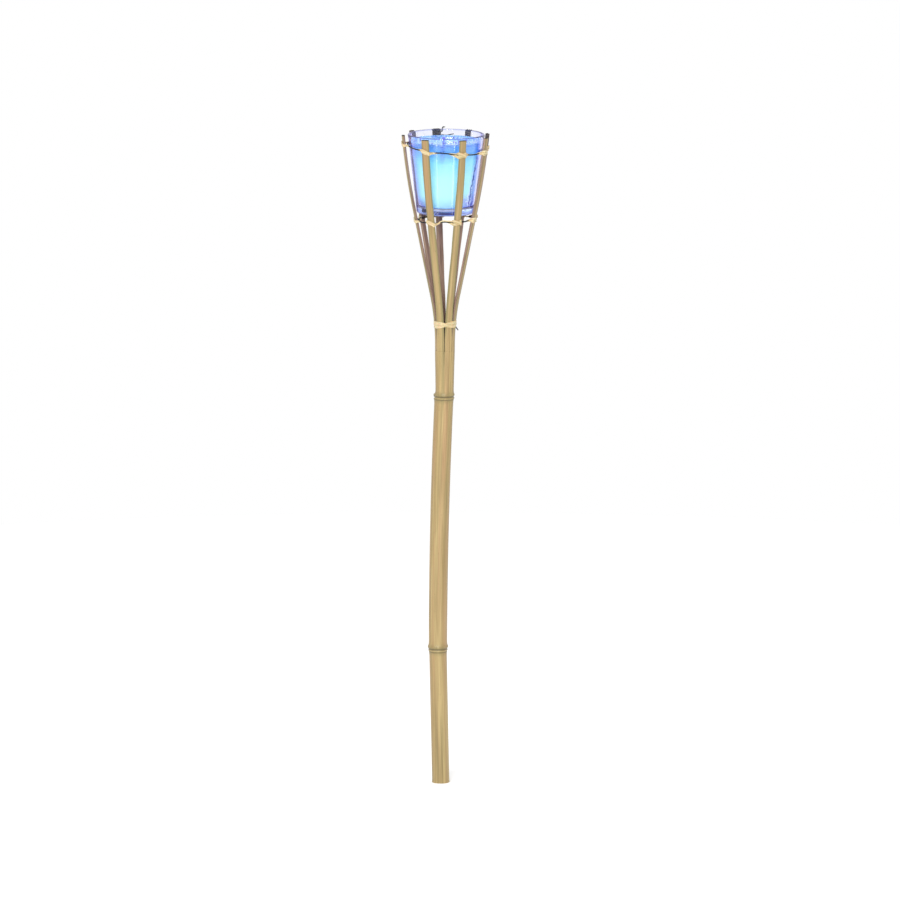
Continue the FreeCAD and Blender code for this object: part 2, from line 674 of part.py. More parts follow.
def build_knot():
    """Turns of twine round one splint, which tie off the upper ring."""
    names = [row[0] for row in SPLINTS]
    index = names.index(KNOT_SPLINT)
    azimuth = size(f"azimuth_{KNOT_SPLINT}")
    first, last = (math.radians(edge - azimuth) for edge in sector(index))
    outer = size("split_radius")
    inner = size(ROOT_INNER)
    middle = (first + last) / 2
    arc = Part.Arc(*(Vector(outer * math.cos(turn), outer * math.sin(turn), 0)
                     for turn in (first, middle, last))).toShape()
    low_inner = Vector(inner, inner * math.tan(first), 0)
    high_inner = Vector(inner, inner * math.tan(last), 0)
    low_outer = Vector(outer * math.cos(first), outer * math.sin(first), 0)
    high_outer = Vector(outer * math.cos(last), outer * math.sin(last), 0)
    section = Part.Wire([
        arc,
        Part.LineSegment(high_outer, high_inner).toShape(),
        Part.LineSegment(high_inner, low_inner).toShape(),
        Part.LineSegment(low_inner, low_outer).toShape(),
    ])
    loop = section.makeOffset2D(size("twine_radius") + size("winding_skin"))
    start = loop.Edges[0]
    ring = Part.Wire(Part.makeCircle(size("twine_radius"), start.valueAt(start.FirstParameter),
                                     start.tangentAt(start.FirstParameter)))
    turn_solid = loop.makePipeShell([ring], True, False)
    turns = []
    for number in range(round(size("knot_turns"))):
        height = size(tip_height(KNOT_SPLINT)) - size("knot_drop") - number * size("knot_pitch")
        lean = Rotation(Vector(0, 1, 0), face_lean(height))
        root_shift = lean.multVec(Vector(inner, 0, 0))
        place = Placement(Vector(face_radius(height), 0, height) - root_shift, lean)
        turns.append(turn_solid.transformed(place.toMatrix()))
    knot = Part.makeCompound(turns)
    return add_feature("knot_turns", knot, head_frame() * facing(azimuth))


def build_knot_ends():
    """The knot's two loose ends: a short curl above it and a tail along the back of the glass."""
    tip = size(tip_height(KNOT_SPLINT))
    azimuth = size(f"azimuth_{KNOT_SPLINT}")
    radius = face_radius(tip)
    index = [row[0] for row in SPLINTS].index(KNOT_SPLINT)
    half_angle = math.radians(azimuth - sector(index)[0])
    reach = size("split_radius") * math.sin(half_angle) + 3 * size("twine_radius") + KNOT_GAP
    beside = math.degrees(math.atan2(reach, radius))
    ends = []
    for label, steps in KNOT_ENDS.items():
        points = [
            outward(azimuth - beside - turn) * (radius + out) + Vector(0, 0, tip + up)
            for turn, out, up in steps
        ]
        ends.append(add_feature(label, twine_tube(points), head_frame()))
    return ends


# ------------------------------------------------------------------------------------------------
# Candle
# ------------------------------------------------------------------------------------------------
def candle_frame():
    """Placement of the candle: its origin is the middle of the glass's underside."""
    return head_frame() * Placement(Vector(0, 0, size("seat_height")), Rotation())


def build_glass():
    """Tapered tumbler with a thick base."""
    body = new_body("glass_tumbler")
    turn_outline(body, "Wall", "PartDesign::Revolution", [
        ("0", "0"),
        ("Sizes.base_radius", "0"),
        ("Sizes.rim_radius", "Sizes.glass_height"),
        ("Sizes.rim_radius - Sizes.glass_wall", "Sizes.glass_height"),
        (FLOOR_RADIUS, "Sizes.glass_floor"),
        ("0", "Sizes.glass_floor"),
    ])
    rim = size("glass_height")
    round_edges(body, "FloorCorner", [(size(FLOOR_RADIUS), size("glass_floor"))], "Sizes.floor_corner")
    round_edges(body, "BaseCorner", [(size("base_radius"), 0)], "Sizes.base_corner")
    rim_inner = size("rim_radius") - size("glass_wall")
    round_edges(body, "Rim", [(size("rim_radius"), rim), (rim_inner, rim)], "Sizes.rim_rounding")
    body.Placement = candle_frame()
    return body


def build_gel():
    """Candle gel that fills the glass and surrounds the wick and its sustainer."""
    body = new_body("candle_gel")
    turn_outline(body, "Fill", "PartDesign::Revolution", [
        ("0", "Sizes.glass_floor"),
        (FLOOR_RADIUS, "Sizes.glass_floor"),
        (FILL_RADIUS, FILL_LEVEL),
        ("0", FILL_LEVEL),
    ])
    round_edges(body, "FloorCorner", [(size(FLOOR_RADIUS), size("glass_floor"))], "Sizes.floor_corner")
    above = f"({FILL_LEVEL} + 1)"
    disc_top = "(Sizes.glass_floor + Sizes.sustainer_thickness)"
    neck_top = "(Sizes.glass_floor + Sizes.sustainer_neck)"
    below = "(Sizes.glass_floor - 1)"
    turn_outline(body, "WickSpace", "PartDesign::Groove", [
        ("0", below),
        ("Sizes.sustainer_radius", below),
        ("Sizes.sustainer_radius", disc_top),
        (NECK_RADIUS, disc_top),
        (NECK_RADIUS, neck_top),
        ("Sizes.wick_radius", neck_top),
        ("Sizes.wick_radius", above),
        ("0", above),
    ], Placement(Vector(-size("wick_offset"), 0, 0), Rotation()))
    body.Placement = candle_frame()
    return body


def build_wick():
    """Braided wick that stands in its sustainer and shows above the gel."""
    wick = doc.addObject("Part::Cylinder", "wick")
    wick.Label = "wick"
    wick.setExpression("Radius", "Sizes.wick_radius")
    length = f"{FILL_LEVEL} + Sizes.wick_proud - Sizes.glass_floor - Sizes.sustainer_thickness"
    wick.setExpression("Height", length)
    foot = Vector(-size("wick_offset"), 0, size("glass_floor") + size("sustainer_thickness"))
    wick.Placement = candle_frame() * Placement(foot, Rotation())
    return wick


def build_sustainer():
    """Tinned sheet disc with a crimped neck that holds the wick upright on the glass's floor."""
    body = new_body("wick_sustainer")
    turn_outline(body, "Shell", "PartDesign::Revolution", [
        ("0", "0"),
        ("Sizes.sustainer_radius", "0"),
        ("Sizes.sustainer_radius", "Sizes.sustainer_thickness"),
        (NECK_RADIUS, "Sizes.sustainer_thickness"),
        (NECK_RADIUS, "Sizes.sustainer_neck"),
        ("Sizes.wick_radius", "Sizes.sustainer_neck"),
        ("Sizes.wick_radius", "Sizes.sustainer_thickness"),
        ("0", "Sizes.sustainer_thickness"),
    ])
    foot = Vector(-size("wick_offset"), 0, size("glass_floor"))
    body.Placement = candle_frame() * Placement(foot, Rotation())
    return body


# ------------------------------------------------------------------------------------------------
# Assembly
# ------------------------------------------------------------------------------------------------
def check_and_write(pieces):
    """Stop on any failed object, then write each piece to its own file."""
    doc.recompute()
    for item in doc.Objects:
        if "Invalid" in item.State or "Error" in item.State:
            raise RuntimeError(f"{item.Name} failed: {item.State}")
    for piece in pieces:
        if piece.Shape.isNull() or not piece.Shape.isValid():
            raise RuntimeError(f"{piece.Label} has no valid shape")
    os.makedirs("parts", exist_ok=True)
    for piece in pieces:
        piece.Shape.exportStep(f"parts/{piece.Label}.step")
        box = piece.Shape.BoundBox
        print(f"{piece.Label:24s} solids {len(piece.Shape.Solids)} volume {piece.Shape.Volume:10.1f}"
              f" z {box.ZMin:8.2f} to {box.ZMax:8.2f}")


def main():
    """Build the torch from the ground up."""
    pieces = [build_cane()]
    pieces += [build_splint(index) for index in range(len(SPLINTS))]
    pieces += [build_collar(), build_collar_end()]
    pieces += build_hoops()
    pieces += [build_weaver("upper"), build_weaver("lower")]
    pieces += [build_knot()] + build_knot_ends()
    pieces += [build_glass(), build_gel(), build_wick(), build_sustainer()]
    check_and_write(pieces)


main()
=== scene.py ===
"""Bamboo garden torch with a gel candle: its looks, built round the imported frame.

Every piece is modelled in metres in the frame of the CAD model.  The origin is on the cane's axis
at ground level, +Z is up and -Y is the front.  Azimuths run from the front towards +X.
"""
import logging
import math
import random
from dataclasses import dataclass
from enum import Enum
from typing import Callable, Optional, Sequence, Union

import bmesh
import bpy
from mathutils import Matrix, Vector
from mathutils.kdtree import KDTree


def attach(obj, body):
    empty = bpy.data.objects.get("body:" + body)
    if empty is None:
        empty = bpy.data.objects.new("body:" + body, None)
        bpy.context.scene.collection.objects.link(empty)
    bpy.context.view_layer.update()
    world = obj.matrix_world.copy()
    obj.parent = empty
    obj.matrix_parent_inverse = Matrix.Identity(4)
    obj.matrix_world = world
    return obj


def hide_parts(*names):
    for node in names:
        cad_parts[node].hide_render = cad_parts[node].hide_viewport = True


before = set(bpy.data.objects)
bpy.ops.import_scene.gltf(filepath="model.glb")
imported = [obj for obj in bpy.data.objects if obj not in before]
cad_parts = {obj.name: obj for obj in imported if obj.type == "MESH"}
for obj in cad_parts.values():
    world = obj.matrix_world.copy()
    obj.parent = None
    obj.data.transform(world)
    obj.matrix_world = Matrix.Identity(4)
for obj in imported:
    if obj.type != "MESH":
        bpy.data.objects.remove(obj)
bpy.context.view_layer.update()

MM = 0.001
UP = Vector((0.0, 0.0, 1.0))
SMOOTH_ANGLE = math.radians(38.0)
log = logging.getLogger("torch")

Colour = tuple[float, float, float, float]
Place = tuple[float, float]


# ------------------------------------------------------------------------------------------------
# Names
# ------------------------------------------------------------------------------------------------
class Carrier(Enum):
    """CAD bodies that pieces ride on."""

    TORCH = "torch"
    CANDLE = "candle"


class Slot(Enum):
    """Material slots of the record."""

    CULM = "bamboo_culm"
    SPLINT = "bamboo_splint"
    RAFFIA = "raffia"
    TWINE = "dark_twine"
    GLASS = "tumbler_glass"
    GEL = "candle_gel"
    WICK = "wick_cotton"
    TIN = "sustainer_tin"


# ------------------------------------------------------------------------------------------------
# Finishes
# ------------------------------------------------------------------------------------------------
def linear(shade: str) -> Colour:
    """Turns an sRGB hex colour to linear.

    Args:
        shade: colour such as "#C8AE78".

    Returns:
        Linear red, green, blue and an alpha of one.
    """
    parts = [int(shade[place:place + 2], 16) / 255.0 for place in (1, 3, 5)]
    red, green, blue = (
        part / 12.92 if part <= 0.04045 else ((part + 0.055) / 1.055) ** 2.4 for part in parts
    )
    return red, green, blue, 1.0


def per(size: float) -> float:
    """Repeats in one metre of a pattern whose size is given in millimetres."""
    return 1000.0 / size


def add_node(tree: bpy.types.NodeTree, kind: str, inputs: Optional[dict] = None,
             **settings: object) -> bpy.types.Node:
    """Adds one node with its settings and links.

    Args:
        tree: node tree that takes the node.
        kind: type name of the node.
        inputs: value, or another node's output, for each input by name or number.
        settings: properties of the node.

    Returns:
        The new node.
    """
    made = tree.nodes.new(kind)
    for name, value in settings.items():
        setattr(made, name, value)
    for name, value in (inputs or {}).items():
        if isinstance(value, bpy.types.NodeSocket):
            tree.links.new(value, made.inputs[name])
        else:
            made.inputs[name].default_value = value
    return made


@dataclass(frozen=True)
class Finish:
    """A surface finish: a named material on the principled shader."""

    name: str = "plain"

    def make(self) -> bpy.types.Material:
        """Builds the material once, and gives the same one again after that.

        Returns:
            The finished material.
        """
        known = bpy.data.materials.get(self.name)
        if known:
            return known
        material = bpy.data.materials.new(self.name)
        material.use_nodes = True
        tree = material.node_tree
        tree.nodes.clear()
        shader = add_node(tree, "ShaderNodeBsdfPrincipled")
        add_node(tree, "ShaderNodeOutputMaterial", {"Surface": shader.outputs["BSDF"]})
        self.dress(tree, shader)
        return material

    def dress(self, tree: bpy.types.NodeTree, shader: bpy.types.Node) -> None:
        """Sets the shader's sockets and links its patterns."""
        raise NotImplementedError

    def grain(self, tree: bpy.types.NodeTree) -> bpy.types.NodeSocket:
        """Place on the piece along its own fibres, which every fibrous piece carries."""
        return add_node(tree, "ShaderNodeAttribute", attribute_name="grain").outputs["Vector"]

    def fibres(self, tree: bpy.types.NodeTree, across: float, along: float, low: float, high: float,
               detail: float = 3.0, seat: tuple[float, float, float] = (0.0, 0.0, 0.0),
               ) -> bpy.types.NodeSocket:
        """Streaks that run with the grain.

        Args:
            tree: node tree that takes the nodes.
            across: width of a streak in millimetres.
            along: length of a streak in millimetres.
            low: noise at and below which the streaks are 0.
            high: noise at and above which they are 1.
            detail: finer layers on top of the streaks.
            seat: shift of the pattern, so that two layers differ.

        Returns:
            Output from 0 to 1.
        """
        run = add_node(tree, "ShaderNodeMapping", {
            "Vector": self.grain(tree),
            "Location": seat,
            "Scale": (per(across), per(across), per(along)),
        })
        noise = add_node(tree, "ShaderNodeTexNoise", {
            "Vector": run.outputs["Vector"], "Scale": 1.0, "Detail": detail, "Roughness": 0.55,
        })
        return add_node(tree, "ShaderNodeMapRange", {
            "Value": noise.outputs["Fac"], "From Min": low, "From Max": high,
        }, interpolation_type="SMOOTHSTEP").outputs["Result"]

    def blend(self, tree: bpy.types.NodeTree, base: Union[Colour, bpy.types.NodeSocket],
              shade: Union[Colour, bpy.types.NodeSocket], share: bpy.types.NodeSocket,
              most: float = 1.0, mode: str = "MIX") -> bpy.types.NodeSocket:
        """Lays one colour over another.

        Args:
            tree: node tree that takes the nodes.
            base: colour underneath.
            shade: colour laid over it.
            share: how much of it shows, from 0 to 1.
            most: greatest share.
            mode: blend mode of the colours.

        Returns:
            The mixed colour.
        """
        held = add_node(tree, "ShaderNodeMath", {0: share, 1: most}, operation="MULTIPLY")
        return add_node(tree, "ShaderNodeMix", {0: held.outputs[0], 6: base, 7: shade},
                        data_type="RGBA", blend_type=mode).outputs[2]

    def relief(self, tree: bpy.types.NodeTree, shader: bpy.types.Node,
               height: bpy.types.NodeSocket, depth: float) -> None:
        """Raises the surface by a pattern whose full height is given in millimetres."""
        bump = add_node(tree, "ShaderNodeBump",
                        {"Height": height, "Distance": depth * MM, "Strength": 1.0})
        tree.links.new(bump.outputs["Normal"], shader.inputs["Normal"])


@dataclass(frozen=True)
class BambooSkin(Finish):
    """Dried bamboo skin, scraped and heat-straightened: a hard, half-gloss skin over long fibres.

    It reads as tan with lighter, pinkish and olive streaks that run the whole internode, faint
    fibre lines, freckles, and dark scars at the nodes.
    """

    name: str = "bamboo skin, dried and scraped"
    tan: str = "#9B8557"
    pale: str = "#B49E6C"
    rose: str = "#AC8660"
    olive: str = "#6E683E"
    scar: str = "#453A1E"
    freckle: str = "#5E4E2E"
    soot: str = "#15120F"
    nodes: tuple[float, float] = (133.8 * MM, 390.1 * MM)

    def node_band(self, tree: bpy.types.NodeTree, inner: float, outer: float,
                  lift: float) -> bpy.types.NodeSocket:
        """Band round both nodes.

        Args:
            tree: node tree that takes the nodes.
            inner: distance in millimetres up to which the band is full.
            outer: distance at which it is gone.
            lift: middle of the band above the sheath scar, in millimetres.

        Returns:
            Output from 0 to 1.
        """
        height = add_node(tree, "ShaderNodeSeparateXYZ", {"Vector": self.grain(tree)}).outputs["Z"]
        gaps = []
        for node in self.nodes:
            gap = add_node(tree, "ShaderNodeMath", {0: height, 1: node + lift * MM},
                           operation="SUBTRACT")
            gaps.append(add_node(tree, "ShaderNodeMath", {0: gap.outputs[0]},
                                 operation="ABSOLUTE").outputs[0])
        nearest = add_node(tree, "ShaderNodeMath", {0: gaps[0], 1: gaps[1]}, operation="MINIMUM")
        return add_node(tree, "ShaderNodeMapRange", {
            "Value": nearest.outputs[0], "From Min": inner * MM, "From Max": outer * MM,
            "To Min": 1.0, "To Max": 0.0,
        }, interpolation_type="SMOOTHSTEP").outputs["Result"]

    def dress(self, tree: bpy.types.NodeTree, shader: bpy.types.Node) -> None:
        """Streaked tan skin with scars at the nodes and a fine fibre relief."""
        colour = self.blend(tree, linear(self.tan), linear(self.pale),
                            self.fibres(tree, 3.0, 150.0, 0.36, 0.68))
        rosy = self.fibres(tree, 5.0, 180.0, 0.42, 0.7, seat=(3.0, 7.0, 1.0))
        colour = self.blend(tree, colour, linear(self.rose), rosy, 0.55)
        mossy = self.fibres(tree, 4.2, 110.0, 0.46, 0.72, seat=(9.0, 2.0, 5.0))
        colour = self.blend(tree, colour, linear(self.olive), mossy, 0.45)
        # Vascular bundles are 0.3 to 0.5 mm apart under the skin; 0.6 mm still shows at this size
        bundles = self.fibres(tree, 0.6, 42.0, 0.3, 0.7, seat=(1.0, 4.0, 8.0))
        colour = self.blend(tree, colour, linear("#9A8656"), bundles, 0.35, "MULTIPLY")
        colour = self.blend(tree, colour, linear(self.freckle),
                            self.fibres(tree, 0.9, 3.2, 0.68, 0.76, 2.0, (5.0, 5.0, 2.0)), 0.55)
        for shade, inner, outer, lift, most in (
            (self.olive, 1.5, 7.5, 2.0, 0.45), (self.pale, 0.3, 1.0, 1.1, 0.4),
            (self.scar, 0.25, 0.95, -0.4, 0.45), (self.scar, 0.4, 1.4, 2.7, 0.6),
        ):
            band = self.node_band(tree, inner, outer, lift)
            colour = self.blend(tree, colour, linear(shade), band, most)
        # Olive along the splints' long edges is greener skin deepened by painted shade; soot
        # blackens the sawn tips
        wear = add_node(tree, "ShaderNodeAttribute", attribute_name="wear").outputs["Fac"]
        for shade, start, end, most in ((self.olive, 0.35, 0.95, 0.85),
                                        (self.soot, 1.1, 1.7, 0.95)):
            share = add_node(tree, "ShaderNodeMapRange", {
                "Value": wear, "From Min": start, "From Max": end,
            }, interpolation_type="SMOOTHSTEP").outputs["Result"]
            colour = self.blend(tree, colour, linear(shade), share, most)
        tree.links.new(colour, shader.inputs["Base Color"])
        worn = self.fibres(tree, 3.0, 30.0, 0.35, 0.7, seat=(2.0, 2.0, 6.0))
        rough = add_node(tree, "ShaderNodeMapRange", {"Value": worn, "To Min": 0.4, "To Max": 0.58})
        tree.links.new(rough.outputs["Result"], shader.inputs["Roughness"])
        shader.inputs["IOR"].default_value = 1.48
        shader.inputs["Coat Weight"].default_value = 0.12
        shader.inputs["Coat Roughness"].default_value = 0.35
        self.relief(tree, shader, bundles, 0.05)


@dataclass(frozen=True)
class SplitBamboo(Finish):
    """Split bamboo wood: the culm's wall where it was split and shaved, dull and fibrous.

    It reads as pinkish brown with darker bundles along the grain, darker near the tips; on the back
    splints that is painted shade.
    """

    name: str = "bamboo wood, split"
    wood: str = "#8E7367"
    light: str = "#A68B78"
    bundle: str = "#5C473D"
    tip_dark: str = "#2B282B"
    tip_dark_start: float = 637.0 * MM
    tip_dark_full: float = 648.0 * MM

    def dress(self, tree: bpy.types.NodeTree, shader: bpy.types.Node) -> None:
        """Fibrous wood, darkened towards the tips."""
        colour = self.blend(tree, linear(self.wood), linear(self.light),
                            self.fibres(tree, 1.8, 60.0, 0.36, 0.66))
        bundles = self.fibres(tree, 0.5, 26.0, 0.48, 0.66, seat=(4.0, 1.0, 3.0))
        colour = self.blend(tree, colour, linear(self.bundle), bundles, 0.6)
        # Darker towards the tips; the longer stretch used on the back splints is painted shade
        height = add_node(tree, "ShaderNodeSeparateXYZ", {"Vector": self.grain(tree)}).outputs["Z"]
        darker_to_tip = add_node(tree, "ShaderNodeMapRange", {
            "Value": height, "From Min": self.tip_dark_start, "From Max": self.tip_dark_full,
        }, interpolation_type="SMOOTHSTEP").outputs["Result"]
        colour = self.blend(tree, colour, linear(self.tip_dark), darker_to_tip, 0.85)
        tree.links.new(colour, shader.inputs["Base Color"])
        shader.inputs["Roughness"].default_value = 0.72
        shader.inputs["IOR"].default_value = 1.45
        self.relief(tree, shader, bundles, 0.12)


@dataclass(frozen=True)
class CutBamboo(Finish):
    """Sawn end of a splint: porous end grain that has taken dirt, so it reads nearly black."""

    name: str = "bamboo end grain, sawn"
    ground: str = "#2E2720"
    pore: str = "#120F0C"

    def dress(self, tree: bpy.types.NodeTree, shader: bpy.types.Node) -> None:
        """Dark ground with round pores 0.45 mm apart."""
        place = add_node(tree, "ShaderNodeTexCoord").outputs["Object"]
        pores = add_node(tree, "ShaderNodeTexVoronoi", {"Vector": place, "Scale": per(0.45)})
        spots = add_node(tree, "ShaderNodeMapRange", {
            "Value": pores.outputs["Distance"], "From Min": 0.2, "From Max": 0.5,
            "To Min": 1.0, "To Max": 0.0,
        }).outputs["Result"]
        colour = self.blend(tree, linear(self.ground), linear(self.pore), spots, 0.9)
        tree.links.new(colour, shader.inputs["Base Color"])
        shader.inputs["Roughness"].default_value = 0.85
        self.relief(tree, shader, spots, -0.08)


@dataclass(frozen=True)
class Raffia(Finish):
    """Raffia: dried palm leaf torn into strips, papery and slightly glossy along its fibres.

    It reads as cream that shades to straw and peach, with fine lines down the strip.
    """

    name: str = "raffia, dried palm leaf"
    cream: str = "#D2C198"
    straw: str = "#B8A36C"
    peach: str = "#C49B7C"
    crease: str = "#857450"

    def dress(self, tree: bpy.types.NodeTree, shader: bpy.types.Node) -> None:
        """Lined, mottled leaf with some light coming through it."""
        colour = self.blend(tree, linear(self.cream), linear(self.straw),
                            self.fibres(tree, 1.4, 16.0, 0.4, 0.7))
        colour = self.blend(tree, colour, linear(self.peach),
                            self.fibres(tree, 3.0, 12.0, 0.5, 0.72, seat=(6.0, 2.0, 4.0)), 0.6)
        # The leaf's veins are 0.2 mm apart; 0.45 mm still shows at this size
        veins = self.fibres(tree, 0.45, 18.0, 0.42, 0.64, seat=(1.0, 8.0, 3.0))
        colour = self.blend(tree, colour, linear(self.crease), veins, 0.4)
        tree.links.new(colour, shader.inputs["Base Color"])
        shader.inputs["Roughness"].default_value = 0.52
        shader.inputs["Sheen Weight"].default_value = 0.15
        shader.inputs["Subsurface Weight"].default_value = 0.12
        shader.inputs["Subsurface Scale"].default_value = 0.4 * MM
        self.relief(tree, shader, veins, 0.07)


@dataclass(frozen=True)
class DyedTwine(Finish):
    """Two-ply hemp twine, dyed black-blue: matt, with loose fibres that catch a little light."""

    name: str = "hemp twine, dyed"
    dye: str = "#05070E"
    faded: str = "#1A1E2C"

    def dress(self, tree: bpy.types.NodeTree, shader: bpy.types.Node) -> None:
        """Near-black fibres, faded in patches."""
        fibre = self.fibres(tree, 0.25, 1.6, 0.42, 0.66)
        colour = self.blend(tree, linear(self.dye), linear(self.faded), fibre, 0.55)
        tree.links.new(colour, shader.inputs["Base Color"])
        shader.inputs["Roughness"].default_value = 0.82
        shader.inputs["Sheen Weight"].default_value = 0.1
        shader.inputs["Sheen Roughness"].default_value = 0.5
        shader.inputs["Specular IOR Level"].default_value = 0.25
        self.relief(tree, shader, fibre, 0.06)


@dataclass(frozen=True)
class PressedGlass(Finish):
    """Soda-lime glass, pressed and fire-polished, with a violet cast and a painted violet glow
    where it is seen edge on.
    """

    name: str = "soda-lime glass, pressed"
    face: str = "#F2F4FF"
    edge: str = "#8078F4"
    glow: float = 0.25
    gather: float = 0.9
    haze: float = 0.0

    def dress(self, tree: bpy.types.NodeTree, shader: bpy.types.Node) -> None:
        """Clear glass, tinted and given a painted glow at grazing angles, with the slow waves of a
        pressing.
        """
        turned = add_node(tree, "ShaderNodeLayerWeight", {"Blend": 0.1}).outputs["Facing"]
        # Twice through the wall: the cast only shows in the outer tenth of the tumbler's width
        cast = add_node(tree, "ShaderNodeMapRange", {
            "Value": turned, "From Min": 0.1, "From Max": 0.3,
        }, interpolation_type="SMOOTHSTEP").outputs["Result"]
        colour = self.blend(tree, linear(self.face), linear(self.edge), cast, self.gather)
        tree.links.new(colour, shader.inputs["Base Color"])
        # Painted glow: the wall gives off violet light where it is seen edge on, standing in for
        # the dyed gel's light in it
        painted_edge_glow = add_node(tree, "ShaderNodeMath", {0: turned, 1: self.glow}, operation="MULTIPLY")
        tree.links.new(painted_edge_glow.outputs[0], shader.inputs["Emission Strength"])
        shader.inputs["Emission Color"].default_value = linear("#8A80FA")
        shader.inputs["Transmission Weight"].default_value = 1.0
        shader.inputs["IOR"].default_value = 1.5
        shader.inputs["Roughness"].default_value = self.haze
        place = add_node(tree, "ShaderNodeTexCoord").outputs["Object"]
        # The mould leaves waves about 9 mm across and a few thousandths of a millimetre deep
        waves = add_node(tree, "ShaderNodeTexNoise",
                         {"Vector": place, "Scale": per(9.0), "Detail": 1.0}).outputs["Fac"]
        self.relief(tree, shader, waves, 0.05)


@dataclass(frozen=True)
class CandleGel(Finish):
    """Mineral-oil candle gel, dyed blue and poured: a clear jelly with a painted glow, as if light
    filled it.

    It is cloudy cyan in the middle of its depth, bluer under its surface, and clear and violet at
    the bottom, where the sustainer shows through; its glow is painted and its sides carry painted
    shade.
    """

    name: str = "candle gel, dyed blue"
    bottom: float = 583.7 * MM
    top: float = 650.3 * MM
    axis: float = 5.3 * MM
    violet: str = "#4A3CB8"
    depths: tuple[tuple[float, str], ...] = (
        (0.0, "#98D4FA"),
        (0.07, "#A8F4FC"),
        (0.2, "#B8FFFF"),
        (0.5, "#B4FFFF"),
        (0.72, "#98F0FE"),
        (0.84, "#80C8FA"),
        (1.0, "#74B0F6"),
    )
    # Cloudiness at each depth, which also sets the strength of the painted glow
    cloud_and_glow: tuple[tuple[float, float], ...] = (
        (0.0, 0.55), (0.14, 0.8), (0.3, 0.92), (0.7, 0.88), (0.86, 0.55), (1.0, 0.3),
    )
    # Painted shade at the flanks: multipliers from face on to edge on
    edges: tuple[tuple[float, str], ...] = (
        (0.0, "#FFFFFF"), (0.4, "#FFFFFF"), (0.52, "#D4E8FF"), (0.64, "#B0C0FC"), (1.0, "#9890F4"),
    )

    def ramp(self, tree: bpy.types.NodeTree, share: bpy.types.NodeSocket,
             stops: Sequence[tuple[float, Colour]]) -> bpy.types.NodeSocket:
        """Colour ramp through stops given as places and linear colours."""
        made = add_node(tree, "ShaderNodeValToRGB", {"Fac": share})
        ramp = made.color_ramp
        while len(ramp.elements) < len(stops):
            ramp.elements.new(0.5)
        for element, (place, colour) in zip(ramp.elements, stops):
            element.position = place
            element.color = colour
        return made.outputs["Color"]

    def between(self, tree: bpy.types.NodeTree, value: bpy.types.NodeSocket, low: float,
                high: float) -> bpy.types.NodeSocket:
        """Smooth step from 0 at the first value to 1 at the second, which may be the smaller."""
        return add_node(tree, "ShaderNodeMapRange", {
            "Value": value, "From Min": low, "From Max": high,
        }, interpolation_type="SMOOTHSTEP").outputs["Result"]

    def both(self, tree: bpy.types.NodeTree, first: bpy.types.NodeSocket,
             second: bpy.types.NodeSocket) -> bpy.types.NodeSocket:
        """Share where two masks overlap."""
        return add_node(tree, "ShaderNodeMath", {0: first, 1: second},
                        operation="MULTIPLY").outputs[0]

    def dress(self, tree: bpy.types.NodeTree, shader: bpy.types.Node) -> None:
        """Layered jelly with clouds and painted glow, painted shade at its flanks and bottom
        corners, a seam of air on its right and froth at its foot.
        """
        place = add_node(tree, "ShaderNodeTexCoord").outputs["Object"]
        part = add_node(tree, "ShaderNodeSeparateXYZ", {"Vector": place}).outputs
        clouds = add_node(tree, "ShaderNodeTexNoise",
                          {"Vector": place, "Scale": per(14.0), "Detail": 2.0}).outputs["Fac"]
        drift = add_node(tree, "ShaderNodeMath", {0: clouds, 1: 7.0 * MM, 2: -3.5 * MM},
                         operation="MULTIPLY_ADD").outputs[0]
        level = add_node(tree, "ShaderNodeMath", {0: part["Z"], 1: drift},
                         operation="ADD").outputs[0]
        depth = add_node(tree, "ShaderNodeMapRange", {
            "Value": level, "From Min": self.bottom, "From Max": self.top,
        }).outputs["Result"]
        colour = self.ramp(tree, depth, [(stop, linear(shade)) for stop, shade in self.depths])
        glow = self.ramp(tree, depth,
                         [(stop, (cloud_glow, cloud_glow, cloud_glow, 1.0)) for stop, cloud_glow in self.cloud_and_glow])
        aside = add_node(tree, "ShaderNodeMath", {0: part["X"], 1: self.axis},
                         operation="SUBTRACT").outputs[0]
        ahead = add_node(tree, "ShaderNodeMath", {0: part["Y"], 1: -1.0},
                         operation="MULTIPLY").outputs[0]
        azimuth = add_node(tree, "ShaderNodeMath", {0: aside, 1: ahead},
                           operation="ARCTAN2").outputs[0]
        # Painted shade: violet in the bottom corners at the sides, away from the front
        swing = add_node(tree, "ShaderNodeMath", {0: azimuth}, operation="ABSOLUTE").outputs[0]
        painted_corner_shade = self.both(tree, self.between(tree, swing, 0.45, 0.95),
                                 self.between(tree, level, 599.0 * MM, 584.0 * MM))
        colour = self.blend(tree, colour, linear(self.violet), painted_corner_shade, 0.9)
        # Froth in the bottom corner on the right
        cells = add_node(tree, "ShaderNodeTexVoronoi", {"Vector": place, "Scale": per(2.3)},
                         feature="DISTANCE_TO_EDGE").outputs["Distance"]
        films = self.between(tree, cells, 0.16, 0.03)
        frothy = self.both(tree, self.between(tree, azimuth, 0.35, 0.65),
                           self.between(tree, level, 602.0 * MM, 591.0 * MM))
        colour = self.blend(tree, colour, linear("#A8A4F0"), self.both(tree, films, frothy), 0.9)
